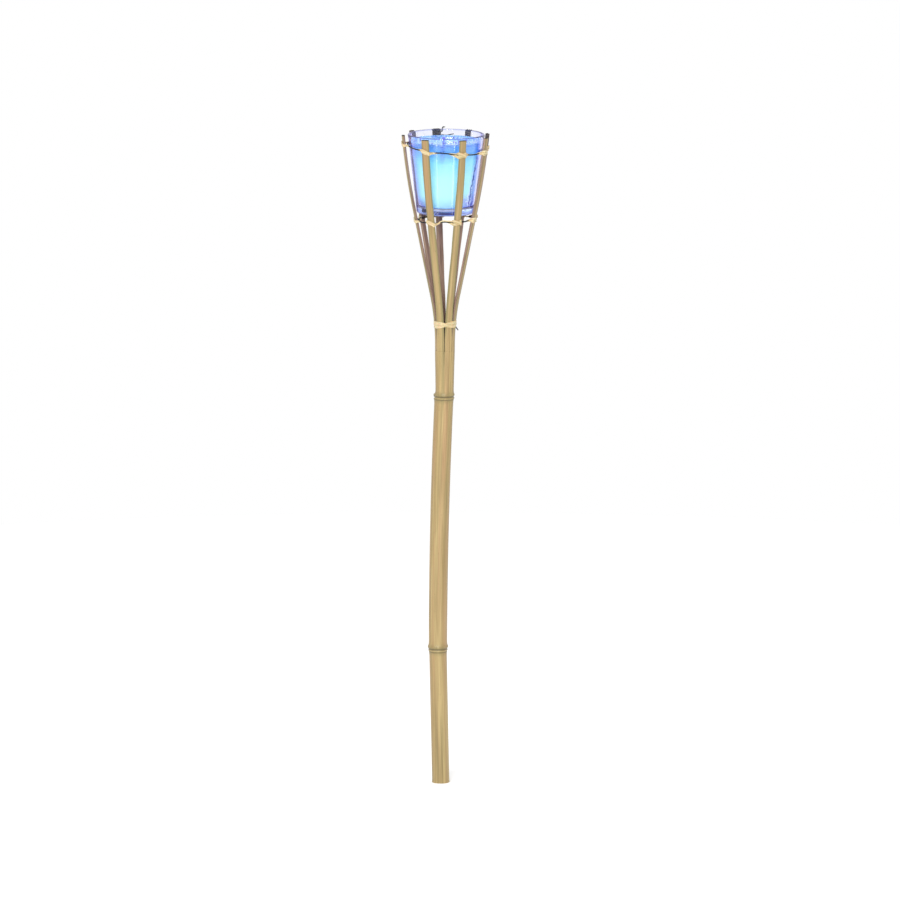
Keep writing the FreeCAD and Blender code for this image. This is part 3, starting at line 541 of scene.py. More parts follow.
        # Seam of air that wanders up the right side, drawn as a dark line of painted shade between
        # two white lines of painted highlight
        rise = add_node(tree, "ShaderNodeMath", {0: part["Z"], 1: -4.8, 2: 1.944},
                        operation="MULTIPLY_ADD").outputs[0]
        jag = add_node(tree, "ShaderNodeTexNoise",
                       {"Vector": place, "Scale": per(5.0), "Detail": 3.0}).outputs["Fac"]
        wander = add_node(tree, "ShaderNodeMath", {0: jag, 1: 0.4, 2: -0.2},
                          operation="MULTIPLY_ADD").outputs[0]
        offset = add_node(tree, "ShaderNodeMath", {0: azimuth, 1: rise}, operation="ADD").outputs[0]
        seam = add_node(tree, "ShaderNodeMath", {0: offset, 1: wander}, operation="ADD").outputs[0]
        for middle, half, shade in ((0.0, 0.06, "#2C30A8"), (0.085, 0.05, "#F4FAFF"),
                                    (-0.08, 0.04, "#E0F8FF")):
            gap = add_node(tree, "ShaderNodeMath", {0: seam, 1: middle}, operation="SUBTRACT")
            gap = add_node(tree, "ShaderNodeMath", {0: gap.outputs[0]}, operation="ABSOLUTE")
            share = self.both(tree, self.between(tree, gap.outputs[0], half, half * 0.4),
                              self.between(tree, part["Z"], 640.0 * MM, 632.0 * MM))
            colour = self.blend(tree, colour, linear(shade), share, 0.85)
        # Painted shade: below the top, the sides darken towards violet as they turn edge on
        turned = add_node(tree, "ShaderNodeLayerWeight", {"Blend": 0.5}).outputs["Facing"]
        painted_flank_shade = self.ramp(tree, turned, [(stop, linear(shade)) for stop, shade in self.edges])
        side = self.between(tree, part["Z"], self.top + 0.2 * MM, self.top - 1.5 * MM)
        colour = self.blend(tree, colour, painted_flank_shade, side, 1.0, "MULTIPLY")
        # Froth on the surface
        foam = self.both(tree, self.between(tree, cells, 0.1, 0.02),
                         self.between(tree, part["Z"], self.top - 1.5 * MM, self.top - 0.5 * MM))
        colour = self.blend(tree, colour, linear("#E4F4FF"), foam, 0.8)
        body = self.blend(tree, colour, linear("#A0A0A0"), glow, 0.85, "MULTIPLY")
        tree.links.new(body, shader.inputs["Base Color"])
        # Painted glow: the gel gives off its own colour, most where it is cloudiest
        tree.links.new(colour, shader.inputs["Emission Color"])
        strength = add_node(tree, "ShaderNodeMath", {0: glow, 1: 0.72}, operation="MULTIPLY")
        tree.links.new(strength.outputs[0], shader.inputs["Emission Strength"])
        clear = add_node(tree, "ShaderNodeMath", {0: 1.0, 1: glow}, operation="SUBTRACT")
        tree.links.new(clear.outputs[0], shader.inputs["Transmission Weight"])
        shader.inputs["IOR"].default_value = 1.44
        shader.inputs["Roughness"].default_value = 0.05
        self.relief(tree, shader, cells, 0.12)


@dataclass(frozen=True)
class GelBubble(Finish):
    """Air bubbles caught between the gel and the glass: bright rims round darker middles."""

    name: str = "air bubbles in candle gel"
    tint: str = "#B8B4FF"

    def dress(self, tree: bpy.types.NodeTree, shader: bpy.types.Node) -> None:
        """Clear shells that mirror at their rims."""
        place = add_node(tree, "ShaderNodeTexCoord").outputs["Object"]
        mottle = add_node(tree, "ShaderNodeTexNoise",
                          {"Vector": place, "Scale": per(2.5)}).outputs["Fac"]
        colour = self.blend(tree, linear(self.tint), linear("#5A50C8"), mottle, 0.8)
        tree.links.new(colour, shader.inputs["Base Color"])
        shader.inputs["Transmission Weight"].default_value = 0.55
        shader.inputs["IOR"].default_value = 1.4
        shader.inputs["Roughness"].default_value = 0.03


@dataclass(frozen=True)
class WaxedCotton(Finish):
    """Braided cotton wick that has drawn up blue gel: damp, soft and half matt."""

    name: str = "cotton wick, soaked in gel"
    soaked: str = "#5A5CD8"
    dry: str = "#A8A8EC"

    def dress(self, tree: bpy.types.NodeTree, shader: bpy.types.Node) -> None:
        """Blue-violet yarn with paler fibres."""
        yarn = self.fibres(tree, 0.3, 1.2, 0.4, 0.68)
        colour = self.blend(tree, linear(self.soaked), linear(self.dry), yarn, 0.7)
        tree.links.new(colour, shader.inputs["Base Color"])
        shader.inputs["Roughness"].default_value = 0.45
        shader.inputs["Sheen Weight"].default_value = 0.3
        self.relief(tree, shader, yarn, 0.08)


@dataclass(frozen=True)
class TinnedSteel(Finish):
    """Tin-plated steel sheet, stamped and crimped: a soft grey metal with rolled streaks."""

    name: str = "tin-plated steel, stamped"
    tin: str = "#6E74A0"
    streak: str = "#40467C"

    def dress(self, tree: bpy.types.NodeTree, shader: bpy.types.Node) -> None:
        """Metal with faint rolling marks, blue from the gel on it."""
        place = add_node(tree, "ShaderNodeTexCoord").outputs["Object"]
        run = add_node(tree, "ShaderNodeMapping",
                       {"Vector": place, "Scale": (per(0.4), per(8.0), per(8.0))})
        marks = add_node(tree, "ShaderNodeTexNoise",
                         {"Vector": run.outputs["Vector"], "Scale": 1.0}).outputs["Fac"]
        colour = self.blend(tree, linear(self.tin), linear(self.streak), marks, 0.8)
        tree.links.new(colour, shader.inputs["Base Color"])
        shader.inputs["Metallic"].default_value = 1.0
        shader.inputs["Roughness"].default_value = 0.38
        self.relief(tree, shader, marks, 0.01)


@dataclass(frozen=True)
class StudioPaper(Finish):
    """White background paper: matt, with a tooth too fine to see from here."""

    name: str = "background paper, white"
    white: str = "#F6F6F5"

    def dress(self, tree: bpy.types.NodeTree, shader: bpy.types.Node) -> None:
        """Even white with a trace of tooth."""
        place = add_node(tree, "ShaderNodeTexCoord").outputs["Object"]
        tooth = add_node(tree, "ShaderNodeTexNoise",
                         {"Vector": place, "Scale": per(1.5)}).outputs["Fac"]
        colour = self.blend(tree, linear(self.white), linear("#FFFFFF"), tooth)
        tree.links.new(colour, shader.inputs["Base Color"])
        shader.inputs["Roughness"].default_value = 0.9
        shader.inputs["Specular IOR Level"].default_value = 0.1


# ------------------------------------------------------------------------------------------------
# Bench: the steps that every piece shares
# ------------------------------------------------------------------------------------------------
@dataclass
class Bench:
    """Starts primitives, works on them in edit mode and hands finished pieces over."""

    def begin(self, primitive: Callable, **sizes: object) -> bpy.types.Object:
        """Adds a primitive with nothing else selected, and opens it in edit mode.

        Args:
            primitive: one of the mesh.primitive operators.
            sizes: its settings.

        Returns:
            The new object, all of it selected.
        """
        bpy.ops.object.select_all(action="DESELECT")
        primitive(**sizes)
        piece = bpy.context.object
        bpy.ops.object.transform_apply(location=True, rotation=True, scale=True)
        bpy.ops.object.mode_set(mode="EDIT")
        bpy.ops.mesh.select_mode(type="VERT")
        bpy.ops.mesh.select_all(action="SELECT")
        return piece

    def end(self) -> None:
        """Leaves edit mode."""
        bpy.ops.object.mode_set(mode="OBJECT")

    def pick_faces(self, piece: bpy.types.Object, wanted: Callable) -> int:
        """Selects the faces of a piece, open in edit mode, that pass a test.

        Args:
            piece: the object in edit mode.
            wanted: test of one face.

        Returns:
            How many faces are selected.
        """
        bpy.ops.mesh.select_mode(type="FACE")
        bpy.ops.mesh.select_all(action="DESELECT")
        mesh = bmesh.from_edit_mesh(piece.data)
        for face in mesh.faces:
            face.select_set(bool(wanted(face)))
        mesh.select_flush_mode()
        bmesh.update_edit_mesh(piece.data)
        return sum(face.select for face in mesh.faces)

    def extrude(self, step: Vector) -> None:
        """Extrudes the selection by a step."""
        bpy.ops.mesh.extrude_region_move(TRANSFORM_OT_translate={"value": tuple(step)})

    def resize(self, scale: float, centre: Vector) -> None:
        """Resizes the selection level, about a centre."""
        bpy.ops.transform.resize(value=(scale, scale, 1.0), center_override=tuple(centre))

    def tilt(self, angle: float, centre: Vector) -> None:
        """Turns the selection about +Y, about a centre."""
        # The operator turns the other way with no window
        bpy.ops.transform.rotate(value=-angle, orient_axis="Y", orient_type="GLOBAL",
                                 center_override=tuple(centre))

    def stack(self, rings: Sequence[tuple[Vector, float]], sides: int,
              capped: tuple[bool, bool] = (False, False)) -> bpy.types.Object:
        """Level rings, each extruded from the one before and resized.

        Args:
            rings: centre and radius of each ring.
            sides: vertices in a ring.
            capped: whether the first and the last ring are filled.

        Returns:
            The new object, in object mode.
        """
        centre, radius = rings[0]
        piece = self.begin(bpy.ops.mesh.primitive_circle_add, vertices=sides, radius=radius,
                           location=centre, fill_type="NOTHING")
        if capped[0]:
            bpy.ops.mesh.duplicate()
            bpy.ops.mesh.edge_face_add()
            bpy.ops.mesh.select_all(action="DESELECT")
            mesh = bmesh.from_edit_mesh(piece.data)
            for edge in mesh.edges:
                edge.select_set(edge.is_wire)
            bmesh.update_edit_mesh(piece.data)
        for following, wider in rings[1:]:
            self.extrude(following - centre)
            self.resize(wider / radius, following)
            centre, radius = following, wider
        if capped[1]:
            bpy.ops.mesh.edge_face_add()
        bpy.ops.mesh.select_all(action="SELECT")
        bpy.ops.mesh.remove_doubles(threshold=0.001 * MM)
        bpy.ops.mesh.normals_make_consistent(inside=False)
        shell = bmesh.from_edit_mesh(piece.data)
        shell.faces.ensure_lookup_table()
        first = shell.faces[0]
        if not any(capped) and first.normal.dot(first.calc_center_median() - rings[0][0]) < 0:
            bpy.ops.mesh.flip_normals()
        self.end()
        return piece

    def sweep(self, line: Sequence[Vector], closed: bool, section: Sequence[Place],
              widths: Optional[Sequence[float]] = None,
              twists: Optional[Sequence[float]] = None) -> bpy.types.Object:
        """Sweeps a section along a line and makes the result a mesh.

        Args:
            line: points of the line, close together.
            closed: whether the line ends where it starts.
            section: outline in the section's plane, sideways and up.
            widths: scale of the section at each point.
            twists: turn of the section at each point.

        Returns:
            The new object, which carries its grain.
        """
        outline = bpy.data.curves.new("section", "CURVE")
        edge = outline.splines.new("POLY")
        edge.points.add(len(section) - 1)
        for point, (aside, above) in zip(edge.points, section):
            point.co = (aside, above, 0.0, 1.0)
        edge.use_cyclic_u = True
        section_object = bpy.data.objects.new("section", outline)
        bpy.context.scene.collection.objects.link(section_object)
        path = bpy.data.curves.new("sweep", "CURVE")
        path.dimensions = "3D"
        path.twist_mode = "Z_UP"
        path.bevel_mode = "OBJECT"
        path.bevel_object = section_object
        path.use_fill_caps = True
        spline = path.splines.new("POLY")
        spline.points.add(len(line) - 1)
        for number, (point, place) in enumerate(zip(spline.points, line)):
            point.co = (*place, 1.0)
            point.radius = widths[number] if widths else 1.0
            point.tilt = twists[number] if twists else 0.0
        spline.use_cyclic_u = closed
        piece = bpy.data.objects.new("sweep", path)
        bpy.context.scene.collection.objects.link(piece)
        bpy.ops.object.select_all(action="DESELECT")
        piece.select_set(True)
        bpy.context.view_layer.objects.active = piece
        bpy.ops.object.convert(target="MESH")
        bpy.data.objects.remove(section_object)
        piece = bpy.context.object
        bpy.ops.object.mode_set(mode="EDIT")
        bpy.ops.mesh.select_all(action="SELECT")
        bpy.ops.mesh.remove_doubles(threshold=0.001 * MM)
        bpy.ops.mesh.normals_make_consistent(inside=False)
        self.end()
        self.follow(piece, line)
        return piece

    def follow(self, piece: bpy.types.Object, line: Sequence[Vector]) -> None:
        """Writes the piece's grain: sideways and upwards off a line, and the length along it."""
        tree = KDTree(len(line))
        lengths = [0.0]
        for number, place in enumerate(line):
            tree.insert(place, number)
            if number:
                lengths.append(lengths[-1] + (place - line[number - 1]).length)
        tree.balance()
        grain = []
        for vertex in piece.data.vertices:
            place, number, _ = tree.find(vertex.co)
            off = vertex.co - place
            grain += [math.hypot(off.x, off.y), off.z, lengths[number]]
        self.write_grain(piece, grain)

    def write_grain(self, piece: bpy.types.Object, grain: Sequence[float]) -> None:
        """Stores three numbers for each vertex as the attribute that fibrous finishes read."""
        store = piece.data.attributes.new("grain", "FLOAT_VECTOR", "POINT")
        store.data.foreach_set("vector", grain)

    def join(self, pieces: Sequence[bpy.types.Object]) -> bpy.types.Object:
        """Joins pieces into the first of them."""
        bpy.ops.object.select_all(action="DESELECT")
        for piece in pieces:
            piece.select_set(True)
        bpy.context.view_layer.objects.active = pieces[0]
        bpy.ops.object.join()
        return pieces[0]

    def apply(self, piece: bpy.types.Object, kind: str, **settings: object) -> None:
        """Adds a modifier to a piece and applies it."""
        bpy.ops.object.select_all(action="DESELECT")
        piece.select_set(True)
        bpy.context.view_layer.objects.active = piece
        modifier = piece.modifiers.new(kind.lower(), kind)
        for name, value in settings.items():
            setattr(modifier, name, value)
        bpy.ops.object.modifier_apply(modifier=modifier.name)

    def hand_over(self, piece: bpy.types.Object, name: str, carrier: Carrier,
                  finishes: Sequence[Finish], stands_for: Sequence[str] = (),
                  lay: Optional[Matrix] = None) -> bpy.types.Object:
        """Finishes a piece: places it, smooths it, dresses it and puts it on its body.

        Args:
            piece: the modelled object.
            name: its name from now on.
            carrier: CAD body that it rides on.
            finishes: one finish for each of its material numbers.
            stands_for: CAD nodes that it replaces.
            lay: placement from the piece's own frame to the row frame.

        Returns:
            The finished object.
        """
        bpy.ops.object.select_all(action="DESELECT")
        piece.select_set(True)
        bpy.context.view_layer.objects.active = piece
        if lay is not None:
            piece.matrix_world = lay @ piece.matrix_world
        bpy.ops.object.transform_apply(location=True, rotation=True, scale=True)
        bpy.ops.object.shade_smooth_by_angle(angle=SMOOTH_ANGLE)
        piece.name = name
        piece.data.name = name
        for finish in finishes:
            piece.data.materials.append(finish.make())
        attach(piece, carrier.value)
        if stands_for:
            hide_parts(*stands_for)
        log.info("%s: %d faces on %s", name, len(piece.data.polygons), carrier.value)
        return piece


BENCH = Bench()


def smooth_line(points: Sequence[Vector], closed: bool, between: int) -> list[Vector]:
    """Smooth line through points.

    Args:
        points: places that the line passes through.
        closed: whether it ends where it starts.
        between: steps from one point to the next.

    Returns:
        Points of the line.
    """
    count = len(points)
    line = []
    for number in range(count if closed else count - 1):
        if closed:
            before, here, there, after = (points[(number + k) % count] for k in (-1, 0, 1, 2))
        else:
            here, there = points[number], points[number + 1]
            before = points[number - 1] if number else here * 2 - there
            after = points[number + 2] if number + 2 < count else there * 2 - here
        for step in range(between):
            t = step / between
            line.append(
                here + (there - before) * (0.5 * t)
                + (before * 2 - here * 5 + there * 4 - after) * (0.5 * t * t)
                + (here * 3 - before - there * 3 + after) * (0.5 * t ** 3)
            )
    if not closed:
        line.append(points[-1].copy())
    return line


def round_section(radius: float, sides: int) -> list[Place]:
    """Round outline of a strand."""
    return [(radius * math.cos(math.tau * side / sides), radius * math.sin(math.tau * side / sides))
            for side in range(sides)]


def plied_twine(line: Sequence[Vector], closed: bool, radius: float = 0.74 * MM, plies: int = 2,
                pitch: float = 3.4 * MM, thin: Optional[Sequence[float]] = None,
                ) -> bpy.types.Object:
    """Twine of twisted plies along a line.

    Args:
        line: points of its middle, close together.
        closed: whether the line ends where it starts.
        radius: radius of the whole twine.
        plies: number of plies.
        pitch: length of one twist.
        thin: scale of the twine at each point.

    Returns:
        The new object.
    """
    ply = radius * 0.56
    off = radius - ply
    lengths = [0.0]
    for here, there in zip(line, list(line[1:]) + [line[0]]):
        lengths.append(lengths[-1] + (there - here).length)
    total = lengths[-1] if closed else lengths[-2]
    twists = max(1, round(total / pitch)) if closed else total / pitch
    strands = []
    for number in range(plies):
        strand = []
        for place, point in enumerate(line):
            before = line[place - 1] if place or closed else line[0]
            after = line[(place + 1) % len(line)] if place + 1 < len(line) or closed else line[-1]
            along = (after - before).normalized()
            aside = along.cross(UP)
            aside = aside.normalized() if aside.length > 0.05 else Vector((1.0, 0.0, 0.0))
            above = aside.cross(along)
            turn = math.tau * (twists * lengths[place] / total + number / plies)
            reach = off * (thin[place] if thin else 1.0)
            strand.append(point + (aside * math.cos(turn) + above * math.sin(turn)) * reach)
        strands.append(BENCH.sweep(strand, closed, round_section(ply, 7), thin))
    return BENCH.join(strands)


# ------------------------------------------------------------------------------------------------
# Basket's own geometry
# ------------------------------------------------------------------------------------------------
@dataclass(frozen=True)
class Strip:
    """One splint: where it leans, the part of the cane's wall it takes, and its height."""

    name: str
    azimuth: float
    first: float
    last: float
    tip: float


@dataclass(frozen=True)
class Basket:
    """Sizes and places that the splints, the rings and the knot share, in the basket's frame.

    The frame's origin is the root of the splints, and its axis leans a little towards +X.
    """

    root: Vector = Vector((4.2 * MM, 0.0, 439.0 * MM))
    lean: float = math.radians(0.34)
    split_radius: float = 9.9 * MM
    wall: float = 3.2 * MM
    slit: float = 0.42 * MM
    root_straight: float = 5.0 * MM
    root_bend: float = 245.0 * MM
    flare: float = math.radians(11.628)
    flare_end: float = 141.0 * MM
    flare_end_radius: float = 29.553 * MM
    top_bend: float = 763.64 * MM
    rim: float = 218.1 * MM

    @property
    def frame(self) -> Matrix:
        """Placement of the basket's frame in the row frame."""
        return Matrix.Translation(self.root) @ Matrix.Rotation(self.lean, 4, "Y")

    @property
    def root_inner(self) -> float:
        """Distance from the axis to a splint's inner face at its root."""
        return self.split_radius - self.wall

    def strips(self) -> list[Strip]:
        """The eight splints in order of azimuth."""
        rows = [
            ("front_right", 23.0, -3.0, 1.3),
            ("right_front", 68.0, 45.5, 1.7),
            ("right_back", 105.0, 88.0, 1.1),
            ("back_right", 148.0, 129.0, 0.6),
            ("back_left", 193.0, 172.0, 0.3),
            ("left_back", 233.0, 214.0, 0.1),
            ("left_side", 270.0, 255.0, 1.5),
            ("front_left", 331.0, 304.0, 1.3),
        ]
        half_slit = self.slit / 2 / self.split_radius
        found = []
        for number, (name, azimuth, start, drop) in enumerate(rows):
            end = rows[(number + 1) % len(rows)][2]
            first = math.radians(start - azimuth) + half_slit
            last = math.radians((end - azimuth) % 360.0) - half_slit
            found.append(Strip(name, math.radians(azimuth), first, last, self.rim - drop * MM))
        return found

    def inner_radius(self, height: float) -> float:
        """Distance from the axis to a splint's inner face at a height above the root."""
        rise = height - self.root_straight
        bend_rise = self.root_bend * math.sin(self.flare)
        if rise <= 0:
            return self.root_inner
        if rise <= bend_rise:
            return self.root_inner + self.root_bend - math.sqrt(self.root_bend ** 2 - rise ** 2)
        if height <= self.flare_end:
            bent = self.root_inner + self.root_bend * (1 - math.cos(self.flare))
            return bent + (rise - bend_rise) * math.tan(self.flare)
        centre = self.flare_end_radius - self.top_bend * math.cos(self.flare)
        below = self.flare_end + self.top_bend * math.sin(self.flare) - height
        return centre + math.sqrt(self.top_bend ** 2 - below ** 2)

    def lean_at(self, height: float) -> float:
        """Lean of a splint at a height above the root."""
        step = 0.4 * MM
        gain = self.inner_radius(height + step) - self.inner_radius(height - step)
        return math.atan2(gain, 2 * step)

    def outer_radius(self, height: float) -> float:
        """Distance from the axis to the crown of a splint's outer face."""
        return self.inner_radius(height) + self.wall / math.cos(self.lean_at(height))

    def outward(self, azimuth: float) -> Vector:
        """Unit vector away from the axis at an azimuth."""
        return Vector((math.sin(azimuth), -math.cos(azimuth), 0.0))

    def onward(self, azimuth: float) -> Vector:
        """Unit vector round the axis at an azimuth, towards larger azimuths."""
        return Vector((math.cos(azimuth), math.sin(azimuth), 0.0))

    def facing(self, azimuth: float) -> Matrix:
        """Turn about the axis that brings local +X to an azimuth."""
        return Matrix.Rotation(azimuth - math.pi / 2, 4, "Z")

    def on_strip(self, strip: Strip, turn: float, height: float, clear: float) -> Vector:
        """Point off a splint's outer face.

        Args:
            strip: the splint.
            turn: angle round the splint's face from its middle.
            height: height above the root.
            clear: distance off the face.

        Returns:
            The point in the basket's frame.
        """
        centre = self.outer_radius(height) - self.split_radius
        reach = self.split_radius + clear
        return (self.outward(strip.azimuth) * (centre + reach * math.cos(turn))
                + self.onward(strip.azimuth) * (reach * math.sin(turn)) + UP * height)


BASKET = Basket()


# ------------------------------------------------------------------------------------------------
# Cane
# ------------------------------------------------------------------------------------------------
@dataclass
class Cane:
    """The bamboo culm from its point in the ground to the root of the splints. Sizes in metres."""

    sides: int = 112
    buried: float = 190.0 * MM
    point_cut: float = 34.0 * MM
    lower_radius: float = 8.75 * MM
    lower_lean: float = math.radians(1.18)
    low_node: float = 135.4 * MM
    high_node: float = 390.9 * MM
    high_offset: float = 3.3 * MM
    bow: float = 1.4 * MM
    waist_radius: float = 9.15 * MM
    shoulder_radius: float = 9.55 * MM
    split: float = 439.0 * MM
    split_offset: float = 4.2 * MM
    split_radius: float = 9.9 * MM
    wall: float = 3.2 * MM

    def axis(self, height: float) -> float:
        """X place of the culm's axis at a height."""
        low = -self.low_node * math.tan(self.lower_lean)
        if height <= self.low_node:
            return -height * math.tan(self.lower_lean)
        if height <= self.high_node:
            share = (height - self.low_node) / (self.high_node - self.low_node)
            return low + (self.high_offset - low) * share - 4 * self.bow * share * (1 - share)
        share = (height - self.high_node) / (self.split - self.high_node)
        return self.high_offset + (self.split_offset - self.high_offset) * share

    def swelling(self, above: float) -> float:
        """Extra radius of a node at a height above its sheath scar."""
        profile = [
            (-6.0, 0.0), (-3.6, 0.12), (-1.6, 0.34), (-0.75, 0.62), (-0.55, 0.86), (-0.1, 0.82),
            (0.1, 0.3), (0.9, 0.22), (1.6, 0.42), (2.4, 0.86), (3.3, 1.0), (4.1, 0.84),
            (4.6, 0.5), (5.2, 0.3), (7.0, 0.08), (10.0, 0.0),
        ]
        place = above / MM
        if place <= profile[0][0] or place >= profile[-1][0]:
            return 0.0
        for (start, low), (end, high) in zip(profile, profile[1:]):
            if place <= end:
                return (low + (high - low) * (place - start) / (end - start)) * MM
        return 0.0

    def radius(self, height: float) -> float:
        """Radius of the culm at a height, without its nodes' swelling."""
        if height <= self.low_node:
            return self.lower_radius
        if height <= self.high_node:
            share = (height - self.low_node) / (self.high_node - self.low_node)
            return self.waist_radius + (self.shoulder_radius - self.waist_radius) * share
        share = (height - self.high_node) / (self.split - self.high_node)
        return self.shoulder_radius + (self.split_radius - self.shoulder_radius) * share

    def heights(self) -> list[float]:
        """Heights of the rings: far apart along an internode, close together at a node."""
        found = [-self.buried - 1.0 * MM]
        marks = [-5.9, -3.6, -2.4, -1.6, -1.1, -0.75, -0.55, -0.3, -0.1, 0.1, 0.5, 0.9, 1.3, 1.6,
                 2.0, 2.4, 2.8, 3.3, 3.7, 4.1, 4.35, 4.6, 4.9, 5.2, 6.0, 7.0, 9.9]
        for start, end in ((-self.buried, self.low_node), (self.low_node, self.high_node),
                           (self.high_node, self.split)):
            steps = round((end - start) / (7.0 * MM))
            for step in range(1, steps):
                height = start + (end - start) * step / steps
                if all(abs(height - node) > 10.5 * MM for node in (self.low_node, self.high_node)):
                    found.append(height)
            if end != self.split:
                found += [end + mark * MM for mark in marks]
        return sorted(found) + [self.split - 2.0 * MM, self.split]

    def build(self) -> None:
        """Models the culm, hollow and pointed, with its nodes, bud scars and cracks."""
        rings = []
        for height in self.heights():
            swell = max(self.swelling(height - self.low_node),
                        self.swelling(height - self.high_node))
            rings.append((Vector((self.axis(height), 0.0, height)), self.radius(height) + swell))
        culm = BENCH.stack(rings, self.sides)
        self.roughen(culm)
        self.cut_point(culm)
        BENCH.apply(culm, "SOLIDIFY", thickness=self.wall, offset=-1.0, use_even_offset=True,
                    use_rim=True)
        parts = [culm] + [self.septum(node) for node in (self.low_node, self.high_node)]
        parts += [self.bud(self.high_node, math.radians(262.0), 2.6 * MM, 3.4 * MM),
                  self.bud(self.low_node, math.radians(78.0), 2.2 * MM, 2.8 * MM)]
        culm = BENCH.join(parts)
        self.crack(culm, math.radians(-3.0), 404.0 * MM, 0.8 * MM)
        self.crack(culm, math.radians(45.5), 417.0 * MM, 0.5 * MM)
        self.crack(culm, math.radians(304.0), 424.0 * MM, 0.4 * MM)
        self.write_grain(culm)
        for face in culm.data.polygons:
            face.material_index = self.finish_of(face)
        BENCH.hand_over(culm, "cane_culm", Carrier.TORCH, [BambooSkin(), SplitBamboo()],
                        ["bamboo_cane"])

    def finish_of(self, face: bpy.types.MeshPolygon) -> int:
        """Material number of a face: skin outside, split wood on the cut and in the bore."""
        out = face.center - Vector((self.axis(face.center.z), 0.0, face.center.z))
        if out.length < self.lower_radius - 0.6 * MM:
            return 1
        level = Vector((out.x, out.y, 0.0)).normalized()
        return 0 if face.normal.dot(level) > -0.2 and abs(face.normal.z) < 0.97 else 1

    def roughen(self, culm: bpy.types.Object) -> None:
        """Gives the skin the slow hollows of a grown culm, and the sheath scars their wander."""
        for vertex in culm.data.vertices:
            place = vertex.co
            out = place - Vector((self.axis(place.z), 0.0, place.z))
            azimuth = math.atan2(out.x, -out.y)
            flute = 0.07 * math.sin(3 * azimuth + 0.9 + 3.0 * place.z)
            flute += 0.05 * math.sin(5 * azimuth - 9.0 * place.z)
            flute += 0.06 * math.sin(2 * azimuth + 16.0 * place.z + 1.0)
            calm = min(1.0, abs(self.split - place.z) / (16.0 * MM))
            # Above the upper node the skin is hollowed on the side where a branch grew
            above = (place.z - self.high_node) / (self.split - self.high_node)
            if 0.0 < above < 1.0:
                side = math.remainder(azimuth - math.radians(265.0), math.tau)
                flute -= 1.1 * math.exp(-(side / 0.75) ** 2) * min(1.0, above * 7) * (1 - above)
            vertex.co = place + out.normalized() * (flute * MM * calm)
            for node, dip in ((self.low_node, 0.5), (self.high_node, 0.75)):
                near = max(0.0, 1.0 - abs(place.z - node) / (9.0 * MM))
                wander = 0.35 * math.sin(azimuth + 0.6) + 0.14 * math.sin(4 * azimuth)
                notch = -dip * math.exp(-(azimuth / 0.13) ** 2)
                vertex.co.z += near * (wander + notch) * MM

    def cut_point(self, culm: bpy.types.Object) -> None:
        """Cuts the foot of the culm off slanting, as for a stake."""
        reach = self.lower_radius
        slope = Vector((self.point_cut, 0.0, -2 * reach)).normalized()
        foot = Vector((self.axis(-self.buried), 0.0, -self.buried))
        bpy.ops.object.select_all(action="DESELECT")
        culm.select_set(True)
        bpy.context.view_layer.objects.active = culm
        bpy.ops.object.mode_set(mode="EDIT")
        bpy.ops.mesh.select_all(action="SELECT")
        bpy.ops.mesh.bisect(plane_co=foot - Vector((reach, 0.0, 0.0)), plane_no=slope,
                            clear_outer=True, use_fill=False)
        BENCH.end()

    def septum(self, node: float) -> bpy.types.Object:
        """Woody wall across the bore at a node."""
        inner = self.radius(node) - self.wall + 0.5 * MM
        centre = Vector((self.axis(node), 0.0, node))
        rings = [(centre + UP * (rise * MM), inner * share)
                 for rise, share in ((-1.5, 0.5), (-1.2, 0.8), (-0.9, 1.0), (0.9, 1.0),
                                     (1.5, 0.82), (1.2, 0.5))]
        return BENCH.stack(rings, 40, (True, True))

    def bud(self, node: float, azimuth: float, wide: float, tall: float) -> bpy.types.Object:
        """Scar of a side branch: an almond-shaped boss with a dimple in it.

        Args:
            node: height of the node.
            azimuth: side of the culm that carries it.
            wide: width of the boss.
            tall: its height.

        Returns:
            The new object.
        """
        away = BASKET.outward(azimuth)
        middle = node + 2.6 * MM
        reach = self.radius(node) + 0.1 * MM
        centre = Vector((self.axis(node), 0.0, middle)) + away * reach
        boss = BENCH.begin(bpy.ops.mesh.primitive_uv_sphere_add, segments=24, ring_count=14,
                           radius=wide / 2, location=(0.0, 0.0, 0.0))
        bpy.ops.transform.resize(value=(0.75, 1.0, tall / wide), center_override=(0.0, 0.0, 0.0))
        BENCH.pick_faces(boss, lambda face: face.normal.x > 0.86)
        bpy.ops.mesh.inset(thickness=0.18 * MM)
        BENCH.extrude(Vector((-0.35 * MM, 0.0, 0.0)))
        BENCH.end()
        boss.matrix_world = Matrix.Translation(centre) @ BASKET.facing(azimuth)
        BENCH.apply(boss, "SUBSURF", levels=1, render_levels=1)
        bpy.ops.object.transform_apply(location=True, rotation=True, scale=True)
        return boss

